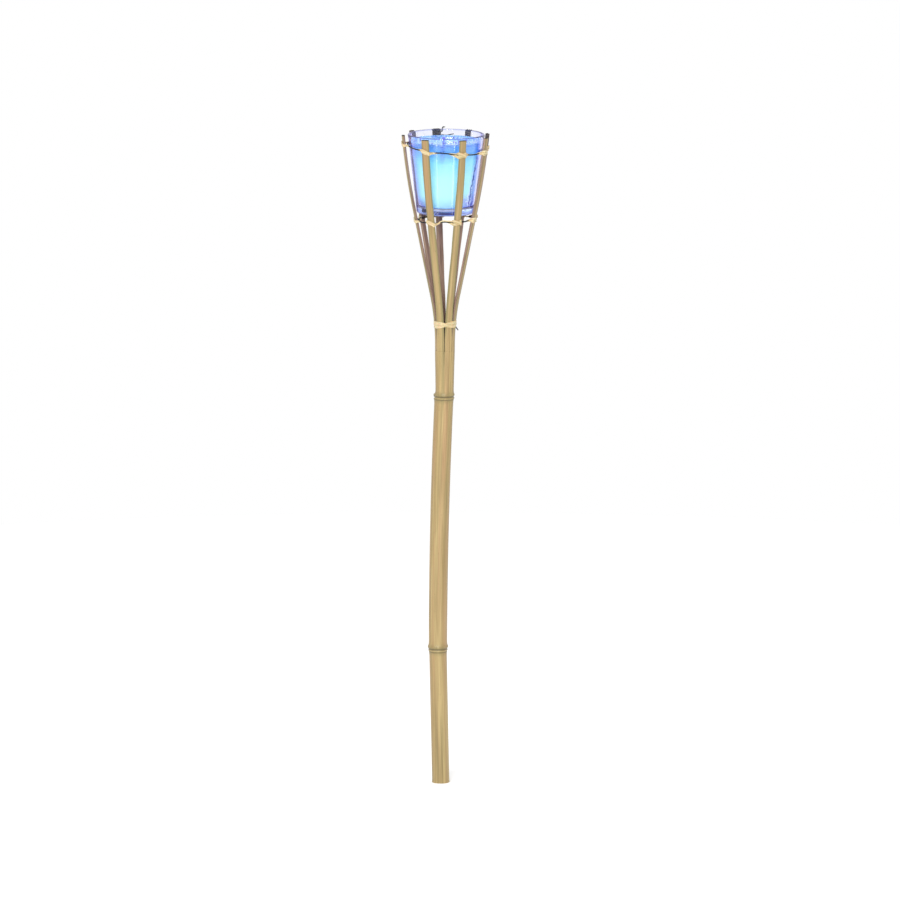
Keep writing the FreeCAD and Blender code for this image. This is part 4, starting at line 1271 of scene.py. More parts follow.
    def crack(self, culm: bpy.types.Object, azimuth: float, bottom: float, width: float) -> None:
        """Drying crack that runs down the culm from a slit between two splints.

        Args:
            culm: the object that is cut.
            azimuth: side of the crack.
            bottom: height at which it dies out.
            width: its width at the top.
        """
        away = BASKET.outward(azimuth)
        tall = self.split - bottom
        wedge = BENCH.begin(bpy.ops.mesh.primitive_cube_add, size=1.0, location=(0.0, 0.0, 0.0))
        deep = 2.6 * MM
        bpy.ops.transform.resize(value=(2 * deep, width, tall + 2.0 * MM),
                                 center_override=(0.0, 0.0, 0.0))
        BENCH.pick_faces(wedge, lambda face: face.normal.z < -0.9)
        bpy.ops.transform.resize(value=(0.06, 0.12, 1.0), center_override=(deep, 0.0, -tall / 2))
        BENCH.pick_faces(wedge, lambda face: face.normal.x < -0.9)
        bpy.ops.transform.resize(value=(1.0, 0.3, 1.0), center_override=(-deep, 0.0, 0.0))
        BENCH.end()
        middle = bottom + tall / 2 + 1.0 * MM
        centre = Vector((self.axis(middle), 0.0, middle)) + away * (self.radius(middle) + 0.1 * MM)
        wedge.matrix_world = Matrix.Translation(centre) @ BASKET.facing(azimuth)
        BENCH.apply(culm, "BOOLEAN", operation="DIFFERENCE", object=wedge, solver="EXACT")
        bpy.data.objects.remove(wedge)

    def write_grain(self, piece: bpy.types.Object) -> None:
        """Writes the grain of a piece of the culm: places about its own axis."""
        grain = []
        for vertex in piece.data.vertices:
            place = vertex.co
            grain += [place.x - self.axis(place.z), place.y, place.z]
        BENCH.write_grain(piece, grain)


# ------------------------------------------------------------------------------------------------
# Basket pieces
# ------------------------------------------------------------------------------------------------
@dataclass
class Splints:
    """The eight strips that the culm's top is split into."""

    sides: int = 176
    edge_wear: float = 0.28 * MM

    def stations(self, tip: float) -> list[float]:
        """Heights of a splint's sections, from its straight root to its tip."""
        found = [BASKET.root_straight + 4.1 * MM * step for step in range(1, 13)]
        start = found[-1]
        steps = 14
        found += [start + (BASKET.flare_end - start) * step / steps for step in range(1, steps + 1)]
        steps = 14
        start = BASKET.flare_end
        found += [start + (tip - start) * step / steps for step in range(1, steps)]
        return found + [tip - 1.3 * MM, tip - 0.6 * MM, tip]

    def model(self, strip: Strip) -> bpy.types.Object:
        """Models one splint from a slice of the culm's wall, drawn up along its bend.

        Args:
            strip: the splint's place and size.

        Returns:
            The new object, in the basket's frame.
        """
        piece = BENCH.begin(bpy.ops.mesh.primitive_cylinder_add, vertices=self.sides,
                            radius=BASKET.split_radius, depth=BASKET.root_straight,
                            location=(0.0, 0.0, BASKET.root_straight / 2))
        cuts = [
            (Vector(), Vector((-math.sin(strip.last), math.cos(strip.last), 0.0))),
            (Vector(), Vector((math.sin(strip.first), -math.cos(strip.first), 0.0))),
            (Vector((BASKET.root_inner, 0.0, 0.0)), Vector((-1.0, 0.0, 0.0))),
        ]
        for place, away in cuts:
            bpy.ops.mesh.select_all(action="SELECT")
            bpy.ops.mesh.bisect(plane_co=place, plane_no=away, use_fill=True, clear_outer=True)
        BENCH.pick_faces(piece, lambda face: face.normal.z > 0.99)
        height, lean = BASKET.root_straight, 0.0
        here = Vector((BASKET.root_inner, 0.0, height))
        for station in self.stations(strip.tip):
            there = Vector((BASKET.inner_radius(station), 0.0, station))
            turn = BASKET.lean_at(station)
            BENCH.extrude(there - here)
            BENCH.tilt(turn - lean, there)
            here, lean = there, turn
        BENCH.end()
        return piece

    def write_grain(self, piece: bpy.types.Object, strip: Strip) -> None:
        """Writes the grain as if the splint were still unbent in the culm, and its edge shade and
        soot.

        The value rises to 1 at the splint's long edges, for greener skin deepened by painted shade,
        and to 2 at its sawn tip, for soot.
        """
        turn = BASKET.facing(strip.azimuth)
        grain, wear = [], []
        for vertex in piece.data.vertices:
            lean = BASKET.lean_at(vertex.co.z)
            depth = (vertex.co.x - BASKET.inner_radius(vertex.co.z)) * math.cos(lean)
            flat = Vector((BASKET.root_inner + depth, vertex.co.y, 0.0))
            swing = math.atan2(flat.y, flat.x)
            free = min(1.0, max(0.0, vertex.co.z) / (25.0 * MM))
            edge = abs(swing / (strip.last if swing > 0 else strip.first)) * free
            wear.append(2.0 if vertex.co.z > strip.tip - 0.5 * MM else min(1.0, edge))
            flat = turn @ flat
            grain += [flat.x, flat.y, BASKET.root.z + vertex.co.z]
        BENCH.write_grain(piece, grain)
        piece.data.attributes.new("wear", "FLOAT", "POINT").data.foreach_set("value", wear)

    def weather(self, piece: bpy.types.Object, strip: Strip) -> None:
        """Gives a splint the small waves of hand-split wood, and its tip a rough saw cut."""
        phase = strip.azimuth * 3.0
        for vertex in piece.data.vertices:
            place = vertex.co
            free = min(1.0, max(0.0, place.z - 12.0 * MM) / (60.0 * MM))
            side = math.copysign(1.0, place.y)
            wave = 0.14 * math.sin(place.z * 74.0 + phase + side)
            wave += 0.08 * math.sin(place.z * 171.0 + 2.0 * phase - side)
            vertex.co.y += wave * free * MM
            if place.z > strip.tip - 1.2 * MM:
                vertex.co.z += 0.22 * MM * math.sin(place.y * 2600.0 + phase)

    def dress(self, piece: bpy.types.Object) -> None:
        """Numbers the faces: skin outside, split wood inside and on the flanks, a sawn tip."""
        for face in piece.data.polygons:
            lean = BASKET.lean_at(face.center.z)
            depth = (face.center.x - BASKET.inner_radius(face.center.z)) * math.cos(lean)
            if face.normal.z > 0.8:
                face.material_index = 2
            elif face.normal.x > 0.35 and depth > BASKET.wall * 0.45:
                face.material_index = 0
            else:
                face.material_index = 1

    def build(self) -> None:
        """Builds all eight splints."""
        for strip in BASKET.strips():
            piece = self.model(strip)
            self.weather(piece, strip)
            piece.data.update()
            self.dress(piece)
            BENCH.apply(piece, "BEVEL", width=self.edge_wear, segments=2, limit_method="ANGLE",
                        angle_limit=math.radians(42.0), use_clamp_overlap=True)
            self.write_grain(piece, strip)
            # Painted shade: the back splints darken over a longer stretch below their tips than the
            # front ones
            wood = SplitBamboo() if "back" in strip.name else SplitBamboo(
                "bamboo wood, split, clean", tip_dark_start=652.0 * MM, tip_dark_full=663.0 * MM)
            finishes = [BambooSkin(), wood, CutBamboo()]
            BENCH.hand_over(piece, f"strip_{strip.name}", Carrier.TORCH, finishes,
                            [f"splint_{strip.name}"], BASKET.frame @ BASKET.facing(strip.azimuth))


@dataclass
class WovenRing:
    """One woven ring: a dark hoop inside the splints, and raffia strands crossing outside them."""

    name: str
    height: float
    rise: float
    highest: float
    hoop_radius: float
    hoop_sway: float
    slants: tuple[tuple[float, float], ...]
    shown: tuple[str, int] = ("", 0)
    width: float = 3.5 * MM
    thickness: float = 0.34 * MM

    def level(self, azimuth: float) -> float:
        """Height at which the ring crosses an azimuth."""
        return self.height + self.rise * math.cos(azimuth - self.highest)

    def leaf_section(self) -> list[Place]:
        """Section of a raffia strip: thin, and folded a little down its middle."""
        half, thick = self.width / 2, self.thickness / 2
        top = [(thick * 0.4, -half), (thick * 1.1, -half * 0.55), (thick * 0.5, -half * 0.12),
               (thick * 0.55, half * 0.1), (thick * 1.15, half * 0.6), (thick * 0.4, half)]
        back = [(-thick * 0.4, half), (-thick * 0.8, half * 0.5), (-thick * 1.1, 0.0),
                (-thick * 0.8, -half * 0.5), (-thick * 0.4, -half)]
        return top + back

    def strand(self, number: int) -> bpy.types.Object:
        """One raffia strand: flat and slanting over each splint, twisted thin between them.

        Args:
            number: 0 for the strand that lies on top, 1 for the one beneath.

        Returns:
            The new object, in the basket's frame.
        """
        clear = (0.86 - 0.5 * number) * MM
        side = 1.0 - 2.0 * number
        chooser = random.Random(f"{self.name}{number}")
        stations = []
        strips = BASKET.strips()
        for index, strip in enumerate(strips):
            middle = self.level(strip.azimuth)
            slant = self.slants[index][number] * MM
            for share in (-1.0, -0.5, 0.0, 0.5, 1.0):
                turn = (strip.last if share > 0 else -strip.first) * share
                droop = 0.45 * MM * (1.0 - share * share) * side
                height = middle - slant * share + droop
                width = 1.0 + chooser.uniform(-0.12, 0.16) - 0.14 * abs(share)
                stations.append((BASKET.on_strip(strip, turn, height, clear), width, 0.0))
            after = strips[(index + 1) % len(strips)]
            leave = (strip.azimuth + self.side_angle(strip, strip.last), middle - slant)
            next_slant = self.slants[(index + 1) % len(strips)][number] * MM
            arrive = (after.azimuth + self.side_angle(after, after.first),
                      self.level(after.azimuth) + next_slant)
            gap = (arrive[0] - leave[0]) % math.tau
            spin = chooser.uniform(0.5, 1.1) * side
            shown = self.shown == (strip.name, number)
            for share, width in ((0.07, 0.66), (0.36, 0.24), (0.64, 0.24), (0.93, 0.66)):
                azimuth = leave[0] + gap * share
                near = abs(share - 0.5) > 0.4
                twine = self.hoop_height(azimuth)
                start = leave[1] if share < 0.5 else arrive[1]
                height = start + (twine - start) * 0.35 if near else twine + 0.12 * MM * side
                reach = self.hoop_radius + (1.35 if near else -0.69) * MM
                if shown and not near:
                    height, width, reach = twine + 1.2 * MM, 0.34, self.hoop_radius + 0.5 * MM
                stations.append((BASKET.outward(azimuth) * reach + UP * height, width,
                                 spin if near else 0.0))
        line = smooth_line([station[0] for station in stations], True, 6)
        widths, twists = [], []
        for here, there in zip(stations, stations[1:] + stations[:1]):
            for step in range(6):
                widths.append(here[1] + (there[1] - here[1]) * step / 6)
                twists.append(here[2] + (there[2] - here[2]) * step / 6)
        return BENCH.sweep(line, True, self.leaf_section(), widths, twists)

    def side_angle(self, strip: Strip, turn: float) -> float:
        """Angle at the basket's axis between a splint's middle and one of its flanks."""
        height = self.level(strip.azimuth)
        centre = BASKET.outer_radius(height) - BASKET.split_radius
        return math.atan2(BASKET.split_radius * math.sin(turn),
                          centre + BASKET.split_radius * math.cos(turn))

    def hoop_height(self, azimuth: float) -> float:
        """Height of the twine's middle at an azimuth: it sags and climbs between splints."""
        strips = BASKET.strips()
        for index, strip in enumerate(strips):
            after = strips[(index + 1) % len(strips)]
            gap = (after.azimuth - strip.azimuth) % math.tau
            share = ((azimuth - strip.azimuth) % math.tau) / gap
            if share <= 1.0:
                sway = 0.2 - 0.8 * math.cos(math.tau * share)
                return self.level(azimuth) + sway * self.hoop_sway * (1.0 if index % 2 else -0.7)
        return self.level(azimuth)

    def hoop_line(self) -> list[Vector]:
        """Middle of the dark twine, round the inside of the splints."""
        count = 360
        return [BASKET.outward(math.tau * step / count) * self.hoop_radius
                + UP * self.hoop_height(math.tau * step / count) for step in range(count)]

    def build(self) -> None:
        """Builds the hoop and the raffia of this ring."""
        hoop = plied_twine(self.hoop_line(), True)
        BENCH.hand_over(hoop, f"{self.name}_ring_hoop", Carrier.TORCH, [DyedTwine()],
                        [f"{self.name}_ring_twine"], BASKET.frame)
        leaf = BENCH.join([self.strand(0), self.strand(1)])
        BENCH.hand_over(leaf, f"{self.name}_ring_wraps", Carrier.TORCH, [Raffia()],
                        [f"{self.name}_ring_raffia"], BASKET.frame)


@dataclass
class Collar:
    """Two turns of raffia round the splints' roots, crossed in front, with a twine end."""

    height: float = 26.9 * MM
    width: float = 3.9 * MM
    thickness: float = 0.36 * MM
    spread: float = 1.75 * MM
    end_azimuth: float = math.radians(75.0)
    end_length: float = 3.8 * MM

    def turn(self, number: int) -> bpy.types.Object:
        """One turn of raffia that starts high or low and changes over in front.

        Args:
            number: 0 for the lower strand at the crossing, 1 for the one on top.

        Returns:
            The new object, in the basket's frame.
        """
        side = 1.0 - 2.0 * number
        line, widths = [], []
        count = 144
        for step in range(count):
            azimuth = math.tau * step / count
            swing = math.remainder(azimuth, math.tau)
            cross = math.exp(-(swing / 0.5) ** 2)
            half = math.tanh(swing / 0.32)
            height = self.height + self.spread * side * (half * 0.9)
            height += 0.35 * MM * math.sin(2 * azimuth + number)
            height -= self.spread * side * half * 0.9 * max(0.0, -math.cos(azimuth)) * 2.0
            out = BASKET.outer_radius(height) + (0.3 + 0.32 * number * cross) * MM
            out += 0.06 * MM * math.sin(9 * azimuth + number)
            line.append(BASKET.outward(azimuth) * out + UP * height)
            widths.append(1.0 - 0.22 * cross + 0.05 * math.sin(5 * azimuth + 2 * number))
        half_width, thick = self.width / 2, self.thickness / 2
        section = [(thick * 0.4, -half_width), (thick, -half_width * 0.6), (thick * 0.55, 0.0),
                   (thick, half_width * 0.6), (thick * 0.4, half_width),
                   (-thick * 0.4, half_width), (-thick, 0.0), (-thick * 0.4, -half_width)]
        return BENCH.sweep(line, True, section, widths)

    def build(self) -> None:
        """Builds the binding and its loose twine end."""
        binding = BENCH.join([self.turn(0), self.turn(1)])
        BENCH.hand_over(binding, "collar_wraps", Carrier.TORCH, [Raffia()],
                        ["collar_binding"], BASKET.frame)
        low = self.height - 3.1 * MM
        start = BASKET.outward(self.end_azimuth) * (BASKET.outer_radius(low) + 0.5 * MM) + UP * low
        slope = math.radians(50.0)
        way = BASKET.outward(self.end_azimuth) * math.cos(slope) - UP * math.sin(slope)
        points = [start - way * 0.9 * MM, start + way * 0.8 * MM,
                  start + way * 2.4 * MM + UP * 0.2 * MM, start + way * self.end_length]
        line = smooth_line(points, False, 10)
        thin = [1.0 - 0.35 * (step / len(line)) ** 2 for step in range(len(line))]
        end = plied_twine(line, False, thin=thin)
        BENCH.hand_over(end, "collar_end", Carrier.TORCH, [DyedTwine()],
                        ["collar_twine_end"], BASKET.frame)


@dataclass
class Knot:
    """Twine wound round one splint to tie off the upper ring, with its two loose ends."""

    carrier_strip: str = "back_left"
    turns: int = 5
    pitch: float = 1.25 * MM
    drop: float = 1.5 * MM
    twine: float = 0.6 * MM

    def strip(self) -> Strip:
        """The splint that carries the knot."""
        return next(row for row in BASKET.strips() if row.name == self.carrier_strip)

    def winding(self) -> bpy.types.Object:
        """Turns of twine round the splint, in that splint's own frame."""
        strip = self.strip()
        off = self.twine + 0.03 * MM
        outer, inner = BASKET.split_radius + off, BASKET.root_inner - off
        loop = [(outer * math.cos(turn), outer * math.sin(turn))
                for turn in (strip.first + (strip.last - strip.first) * k / 6 for k in range(7))]
        loop[0] = (loop[0][0] - 0.2 * MM, loop[0][1] - 0.45 * MM)
        loop[-1] = (loop[-1][0] - 0.2 * MM, loop[-1][1] + 0.45 * MM)
        high = inner * math.tan(strip.last) + 0.55 * MM
        low = inner * math.tan(strip.first) - 0.55 * MM
        loop += [(inner + 0.5 * MM, high + 0.2 * MM), (inner, high * 0.6), (inner, low * 0.6),
                 (inner + 0.5 * MM, low - 0.2 * MM)]
        points = []
        for number in range(self.turns * len(loop)):
            aside, along = loop[number % len(loop)]
            height = strip.tip - self.drop - self.pitch * number / len(loop)
            lean = BASKET.lean_at(height)
            reach = BASKET.inner_radius(height) + (aside - BASKET.root_inner) * math.cos(lean)
            drop = (aside - BASKET.root_inner) * math.sin(lean)
            points.append(Vector((reach, along, height - drop)))
        return plied_twine(smooth_line(points, False, 6), False)

    def loose_end(self, steps: Sequence[tuple[float, float, float]]) -> bpy.types.Object:
        """A loose end of twine through points off the splint's tip.

        Args:
            steps: turn off the splint's azimuth in degrees, distance out and height in
                millimetres, for each point.

        Returns:
            The new object, in the basket's frame.
        """
        strip = self.strip()
        radius = BASKET.inner_radius(strip.tip)
        points = [BASKET.outward(strip.azimuth - math.radians(turn)) * (radius + out * MM)
                  + UP * (strip.tip + up * MM) for turn, out, up in steps]
        line = smooth_line(points, False, 10)
        thin = [1.0 - 0.3 * (step / len(line)) ** 3 for step in range(len(line))]
        return plied_twine(line, False, thin=thin)

    def build(self) -> None:
        """Builds the winding, the curl above it and the tail beside it."""
        BENCH.hand_over(self.winding(), "knot_winding", Carrier.TORCH, [DyedTwine()],
                        ["knot_turns"], BASKET.frame @ BASKET.facing(self.strip().azimuth))
        curl = self.loose_end([(6.3, 1.1, -3.6), (8.2, 1.6, -1.6), (7.9, 1.6, 0.4),
                               (9.2, 1.3, 1.3), (11.4, 1.0, 1.4)])
        BENCH.hand_over(curl, "knot_curl_end", Carrier.TORCH, [DyedTwine()],
                        ["knot_curl"], BASKET.frame)
        tail = self.loose_end([(6.3, 0.5, -6.4), (13.4, 0.2, -6.9), (18.0, -0.1, -6.2),
                               (23.7, -0.4, -5.2)])
        BENCH.hand_over(tail, "knot_tail_end", Carrier.TORCH, [DyedTwine()],
                        ["knot_tail"], BASKET.frame)


# ------------------------------------------------------------------------------------------------
# Candle
# ------------------------------------------------------------------------------------------------
def corner(centre: Place, radius: float, start: float, end: float, steps: int) -> list[Place]:
    """Points of a rounded corner, as radius and height pairs.

    Args:
        centre: middle of the rounding.
        radius: its radius.
        start: first direction in degrees from level outwards.
        end: last direction.
        steps: number of steps between them.

    Returns:
        The points in order.
    """
    turns = [math.radians(start + (end - start) * step / steps) for step in range(steps + 1)]
    return [(centre[0] + radius * math.cos(turn), centre[1] + radius * math.sin(turn))
            for turn in turns]


@dataclass
class Candle:
    """Tumbler, gel, bubbles, wick and sustainer, in a frame under the middle of the glass."""

    seat: float = 138.8 * MM
    rim_radius: float = 38.5 * MM
    base_radius: float = 28.75 * MM
    height: float = 79.3 * MM
    wall: float = 2.4 * MM
    floor: float = 6.0 * MM
    base_corner: float = 2.6 * MM
    recess_depth: float = 3.8 * MM
    floor_corner: float = 4.5 * MM
    rim_rounding: float = 1.0 * MM
    fill_drop: float = 7.0 * MM
    wick_offset: float = 2.4 * MM
    wick_radius: float = 1.75 * MM
    wick_proud: float = 3.4 * MM
    sides: int = 192
    skin: float = 0.05 * MM

    @property
    def frame(self) -> Matrix:
        """Placement of the candle's frame in the row frame."""
        return BASKET.frame @ Matrix.Translation(UP * self.seat)

    @property
    def taper(self) -> float:
        """Gain of radius for each metre of height."""
        return (self.rim_radius - self.base_radius) / self.height

    def outside(self, height: float) -> float:
        """Outside radius of the glass at a height."""
        return self.base_radius + height * self.taper

    def inside(self, height: float) -> float:
        """Inside radius of the glass at a height."""
        return self.outside(height) - self.wall

    def turned(self, outline: Sequence[Place], capped: tuple[bool, bool]) -> bpy.types.Object:
        """Turns an outline of radius and height pairs about the candle's axis."""
        return BENCH.stack([(UP * height, radius) for radius, height in outline], self.sides,
                           capped)

    def floor_outline(self, shrink: float) -> list[Place]:
        """Inside bottom corner of the glass, from the middle outwards, less a gap."""
        rise = self.floor + self.floor_corner
        centre = (self.inside(rise) - self.floor_corner, rise)
        return corner(centre, self.floor_corner - shrink, -90.0, -7.0, 8)

    def tumbler(self) -> None:
        """The glass: thick base, tapered wall and a fire-polished rim."""
        foot = self.base_corner
        recess = self.recess_depth
        outline = [(0.4 * MM, recess), (6.5 * MM, recess), (8.6 * MM, recess - 0.3 * MM),
                   (9.3 * MM, recess - 1.0 * MM), (9.6 * MM, 0.5 * MM), (10.2 * MM, 0.3 * MM),
                   (16.0 * MM, 0.3 * MM), (22.5 * MM, 0.2 * MM), (23.5 * MM, 0.0)]
        outline += corner((self.outside(foot) - foot, foot), foot, -90.0, -7.0, 8)
        steps = 26
        top = self.height - self.rim_rounding
        outline += [(self.outside(foot + (top - foot) * k / steps),
                     foot + (top - foot) * k / steps) for k in range(1, steps + 1)]
        outline += corner((self.outside(top) - self.rim_rounding, top), self.rim_rounding,
                          15.0, 90.0, 5)
        outline += corner((self.inside(top) + self.rim_rounding, top), self.rim_rounding,
                          90.0, 165.0, 5)
        low = self.floor + self.floor_corner
        outline += [(self.inside(top + (low - top) * k / steps),
                     top + (low - top) * k / steps) for k in range(steps)]
        outline += self.floor_outline(0.0)[::-1] + [(12.0 * MM, self.floor), (0.4 * MM, self.floor)]
        glass = self.turned(outline, (True, True))
        # Places in the list of finishes below
        base, hollow, lip = 1, 2, 3
        for face in glass.data.polygons:
            out = math.hypot(face.center.x, face.center.y)
            if face.center.z > self.height - 1.1 * MM:
                face.material_index = lip
            elif face.center.z < self.floor - 0.2 * MM:
                face.material_index = hollow if out < 9.8 * MM else base
        finishes = [PressedGlass(),
                    # Painted light: the base glass is tinted blue and glows, standing in for the
                    # dyed gel's light seen through it
                    PressedGlass("soda-lime glass, over the dyed gel", "#9CB4F6", "#3C2CB0", 0.1),
                    # Painted shade: the moulded recess is navy and hazed, so it reads as a dark
                    # hollow under the sustainer
                    PressedGlass("soda-lime glass, moulded recess", "#3038A4", "#2C2E98", 0.05,
                                 haze=0.3),
                    # The rim is tinted lilac, deeper violet where seen edge on, and carries painted
                    # glow
                    PressedGlass("soda-lime glass, rim", "#9CA4E2", "#5450C4", 0.2)]
        BENCH.hand_over(glass, "candle_tumbler", Carrier.CANDLE, finishes,
                        ["glass_tumbler"], self.frame)

    def gel(self) -> None:
        """The gel: it fills the glass, climbs its wall a little and has a lively surface."""
        surface = self.height - self.fill_drop
        low = self.floor + self.floor_corner
        outline = [(0.4 * MM, self.floor + self.skin), (12.0 * MM, self.floor + self.skin)]
        outline += self.floor_outline(self.skin)
        steps = 22
        edge = surface + 0.9 * MM
        outline += [(self.inside(low + (edge - low) * k / steps) - self.skin,
                     low + (edge - low) * k / steps) for k in range(1, steps + 1)]
        rim = self.inside(edge) - self.skin
        outline += [(rim - 0.25 * MM, surface + 0.55 * MM), (rim - 0.8 * MM, surface + 0.2 * MM),
                    (rim - 2.0 * MM, surface - 0.05 * MM)]
        outline += [(rim * share, surface - 0.1 * MM)
                    for share in (0.88, 0.8, 0.72, 0.64, 0.56, 0.48, 0.4, 0.32, 0.24, 0.16, 0.08)]
        outline.append((0.4 * MM, surface - 0.1 * MM))
        jelly = self.turned(outline, (True, True))
        for vertex in jelly.data.vertices:
            out = math.hypot(vertex.co.x, vertex.co.y)
            if vertex.co.z > surface - 0.3 * MM and out < rim - 1.0 * MM:
                ripple = 0.16 * math.sin(vertex.co.x * 520.0 + 1.0) * math.cos(vertex.co.y * 610.0)
                ripple += 0.09 * math.sin(vertex.co.x * 1300.0 - vertex.co.y * 1100.0)
                at_wick = math.hypot(vertex.co.x + self.wick_offset, vertex.co.y)
                climb = 0.7 * math.exp(-(at_wick / (2.6 * MM)) ** 2)
                vertex.co.z += (ripple + climb) * MM
        BENCH.hand_over(jelly, "candle_jelly", Carrier.CANDLE, [CandleGel()],
                        ["candle_gel"], self.frame)

    def bubbles(self) -> None:
        """Air bubbles that froth on the gel's surface."""
        chooser = random.Random(11)
        surface = self.height - self.fill_drop
        seed = BENCH.begin(bpy.ops.mesh.primitive_ico_sphere_add, subdivisions=2, radius=1.0,
                           location=(0.0, 0.0, 0.0))
        bpy.ops.transform.resize(value=(1.0, 1.0, 1.12), center_override=(0.0, 0.0, 0.0))
        BENCH.end()
        places = []
        for _ in range(60):
            azimuth = math.radians(chooser.uniform(0.0, 360.0))
            places.append((azimuth, surface + chooser.uniform(-0.2, 0.3) * MM,
                           chooser.uniform(0.3, 0.8) * MM, chooser.uniform(0.02, 0.6)))
        froth = []
        for azimuth, height, radius, inwards in places:
            reach = (self.inside(height) - self.skin - radius * 1.15) * (1.0 - inwards)
            copy = bpy.data.objects.new("bubble", seed.data.copy())
            bpy.context.scene.collection.objects.link(copy)
            copy.matrix_world = (Matrix.Translation(BASKET.outward(azimuth) * reach + UP * height)
                                 @ Matrix.Diagonal((radius, radius, radius, 1.0)))
            froth.append(copy)
        bpy.data.objects.remove(seed)
        bpy.context.view_layer.update()
        froth = BENCH.join(froth)
        BENCH.hand_over(froth, "candle_bubbles", Carrier.CANDLE, [GelBubble()], (),
                        self.frame)

    def wick(self) -> None:
        """The wick: three plies of cotton twisted together, trimmed at a slant."""
        foot = self.floor + 0.5 * MM
        top = self.height - self.fill_drop + self.wick_proud
        points = [Vector((-self.wick_offset + 0.12 * MM * math.sin(step * 1.3),
                          0.12 * MM * math.cos(step * 1.7), foot + (top - foot) * step / 12))
                  for step in range(13)]
        yarn = plied_twine(smooth_line(points, False, 8), False, self.wick_radius, 3, 7.0 * MM)
        BENCH.hand_over(yarn, "candle_wick", Carrier.CANDLE, [WaxedCotton()], ["wick"],
                        self.frame)

    def sustainer(self) -> None:
        """The sustainer: a stamped disc with a rolled edge and a neck crimped on the wick."""
        base = self.floor
        outline = [(0.4, 0.02), (6.9, 0.02), (7.4, 0.1), (7.5, 0.3), (7.3, 0.5), (6.6, 0.42),
                   (4.6, 0.5), (3.4, 0.8), (2.6, 1.5), (2.3, 2.6), (2.25, 4.2), (2.2, 5.8),
                   (2.3, 6.9), (2.1, 7.0), (1.85, 6.9), (1.8, 5.8), (1.8, 2.6), (1.8, 0.6),
                   (0.4, 0.52)]
        shell = BENCH.stack([(Vector((-self.wick_offset, 0.0, base + height * MM)), radius * MM)
                             for radius, height in outline], 64, (True, True))
        for vertex in shell.data.vertices:
            aside = vertex.co.x + self.wick_offset
            out = math.hypot(aside, vertex.co.y)
            rise = vertex.co.z - base
            if out > 2.05 * MM and 2.0 * MM < rise < 6.5 * MM:
                pinch = 0.16 * MM * max(0.0, math.cos(4 * math.atan2(vertex.co.y, aside)))
                vertex.co.x -= aside / out * pinch
                vertex.co.y -= vertex.co.y / out * pinch
        BENCH.hand_over(shell, "candle_sustainer", Carrier.CANDLE, [TinnedSteel()],
                        ["wick_sustainer"], self.frame)

    def build(self) -> None:
        """Builds the candle from the glass inwards."""
        self.tumbler()
        self.gel()
        self.bubbles()
        self.wick()
        self.sustainer()


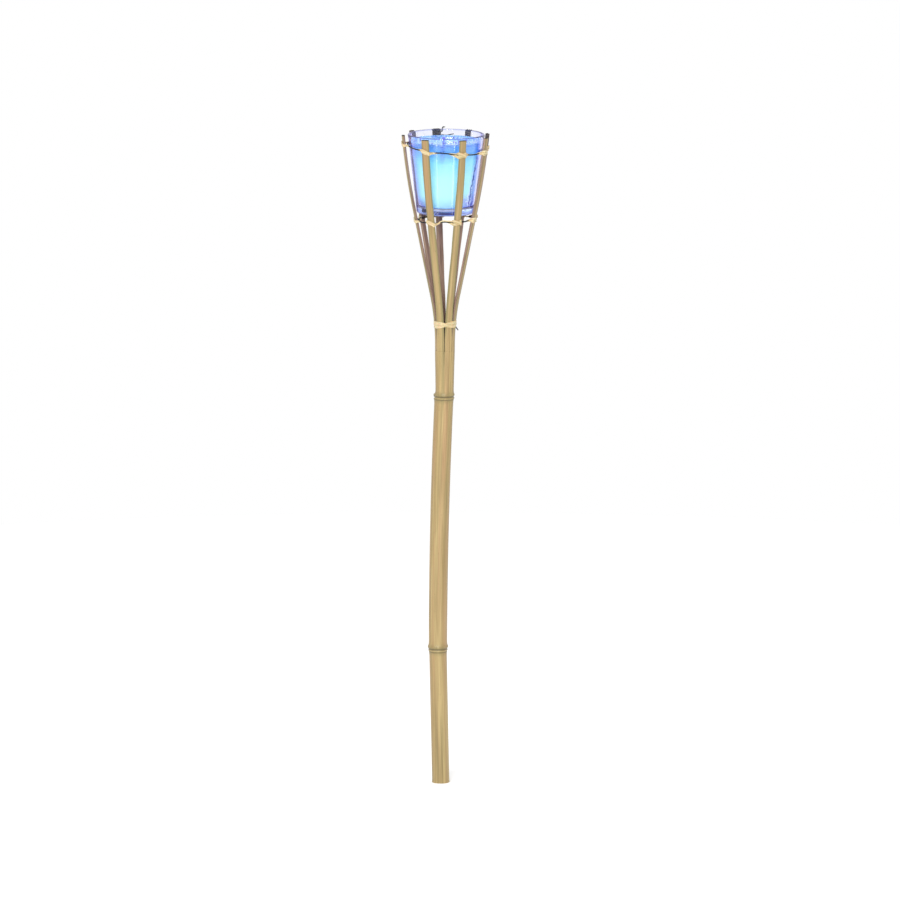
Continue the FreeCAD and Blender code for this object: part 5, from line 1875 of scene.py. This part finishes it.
# ------------------------------------------------------------------------------------------------
# Studio
# ------------------------------------------------------------------------------------------------
@dataclass
class Studio:
    """White room, floor, soft lights and the camera."""

    paper_radius: float = 1.6
    room: float = 1.0
    target: Vector = Vector((9.3 * MM, 0.0, 338.0 * MM))
    distance: float = 12.0
    elevation: float = math.radians(9.4)
    lens: float = 480.0

    def floor(self) -> None:
        """Round sheet of white paper under the torch."""
        paper = BENCH.begin(bpy.ops.mesh.primitive_circle_add, vertices=96,
                            radius=self.paper_radius, location=(0.0, 0.0, 0.0), fill_type="NGON")
        bpy.ops.mesh.inset(thickness=self.paper_radius * 0.5)
        BENCH.end()
        paper.name = "studio_floor"
        paper.data.materials.append(StudioPaper().make())

    def light(self, name: str, azimuth: float, height: float, distance: float, width: float,
              tall: float, power: float) -> None:
        """Soft box that faces the torch's head.

        Args:
            name: its name.
            azimuth: its direction from the torch, in degrees.
            height: its height above the floor.
            distance: its distance from the torch's axis.
            width: its width.
            tall: its height from edge to edge.
            power: its power in watts.
        """
        data = bpy.data.lights.new(name, "AREA")
        data.shape = "RECTANGLE"
        data.size = width
        data.size_y = tall
        data.energy = power
        lamp = bpy.data.objects.new(name, data)
        bpy.context.scene.collection.objects.link(lamp)
        place = BASKET.outward(math.radians(azimuth)) * distance + UP * height
        aim = Vector((0.0, 0.0, 0.55)) - place
        lamp.location = place
        lamp.rotation_euler = aim.to_track_quat("-Z", "Y").to_euler()

    def build(self) -> None:
        """Sets up the room, the lights and the camera."""
        self.floor()
        scene = bpy.context.scene
        world = bpy.data.worlds.new("white room")
        world.use_nodes = True
        back = world.node_tree.nodes["Background"]
        back.inputs["Color"].default_value = (1.0, 1.0, 1.0, 1.0)
        back.inputs["Strength"].default_value = self.room
        scene.world = world
        scene.view_settings.view_transform = "Standard"
        self.light("key softbox", -12.0, 1.7, 2.6, 1.0, 1.0, 56.0)
        # The glass's wall leans out, so what it mirrors to the front lies low
        self.light("strip softbox right", 26.0, 0.12, 1.2, 0.08, 0.5, 0.4)
        self.light("strip softbox left", -31.0, 0.12, 1.2, 0.06, 0.5, 0.2)
        data = bpy.data.cameras.new("view")
        data.lens = self.lens
        data.clip_end = 100.0
        camera = bpy.data.objects.new("view", data)
        scene.collection.objects.link(camera)
        back_off = Vector((0.0, -math.cos(self.elevation), math.sin(self.elevation)))
        camera.location = self.target + back_off * self.distance
        camera.rotation_euler = (-back_off).to_track_quat("-Z", "Y").to_euler()
        scene.camera = camera


# ------------------------------------------------------------------------------------------------
# Torch
# ------------------------------------------------------------------------------------------------
def main() -> None:
    """Builds the torch from the ground up, then the studio round it."""
    logging.basicConfig(level=logging.INFO, format="%(name)s %(message)s")
    Cane().build()
    Splints().build()
    Collar().build()
    # Slant of the upper and lower strand over each splint in millimetres, in order of azimuth
    WovenRing("upper", 204.9 * MM, 3.5 * MM, math.radians(235.0), 38.257 * MM, 0.7 * MM,
              ((1.7, -1.7), (1.2, -0.9), (1.4, -1.2), (1.5, -1.3), (1.4, -1.4), (1.3, -1.1),
               (1.2, 0.9), (1.9, 1.1))).build()
    WovenRing("lower", 132.4 * MM, 1.2 * MM, math.radians(95.0), 26.713 * MM, 0.9 * MM,
              ((1.6, -1.8), (1.2, -1.0), (1.3, -1.2), (1.4, -1.2), (1.4, -1.3), (1.2, -1.1),
               (1.0, 0.8), (1.9, 1.0)), ("front_left", 0)).build()
    Knot().build()
    Candle().build()
    Studio().build()


if __name__ == "__main__":
    main()
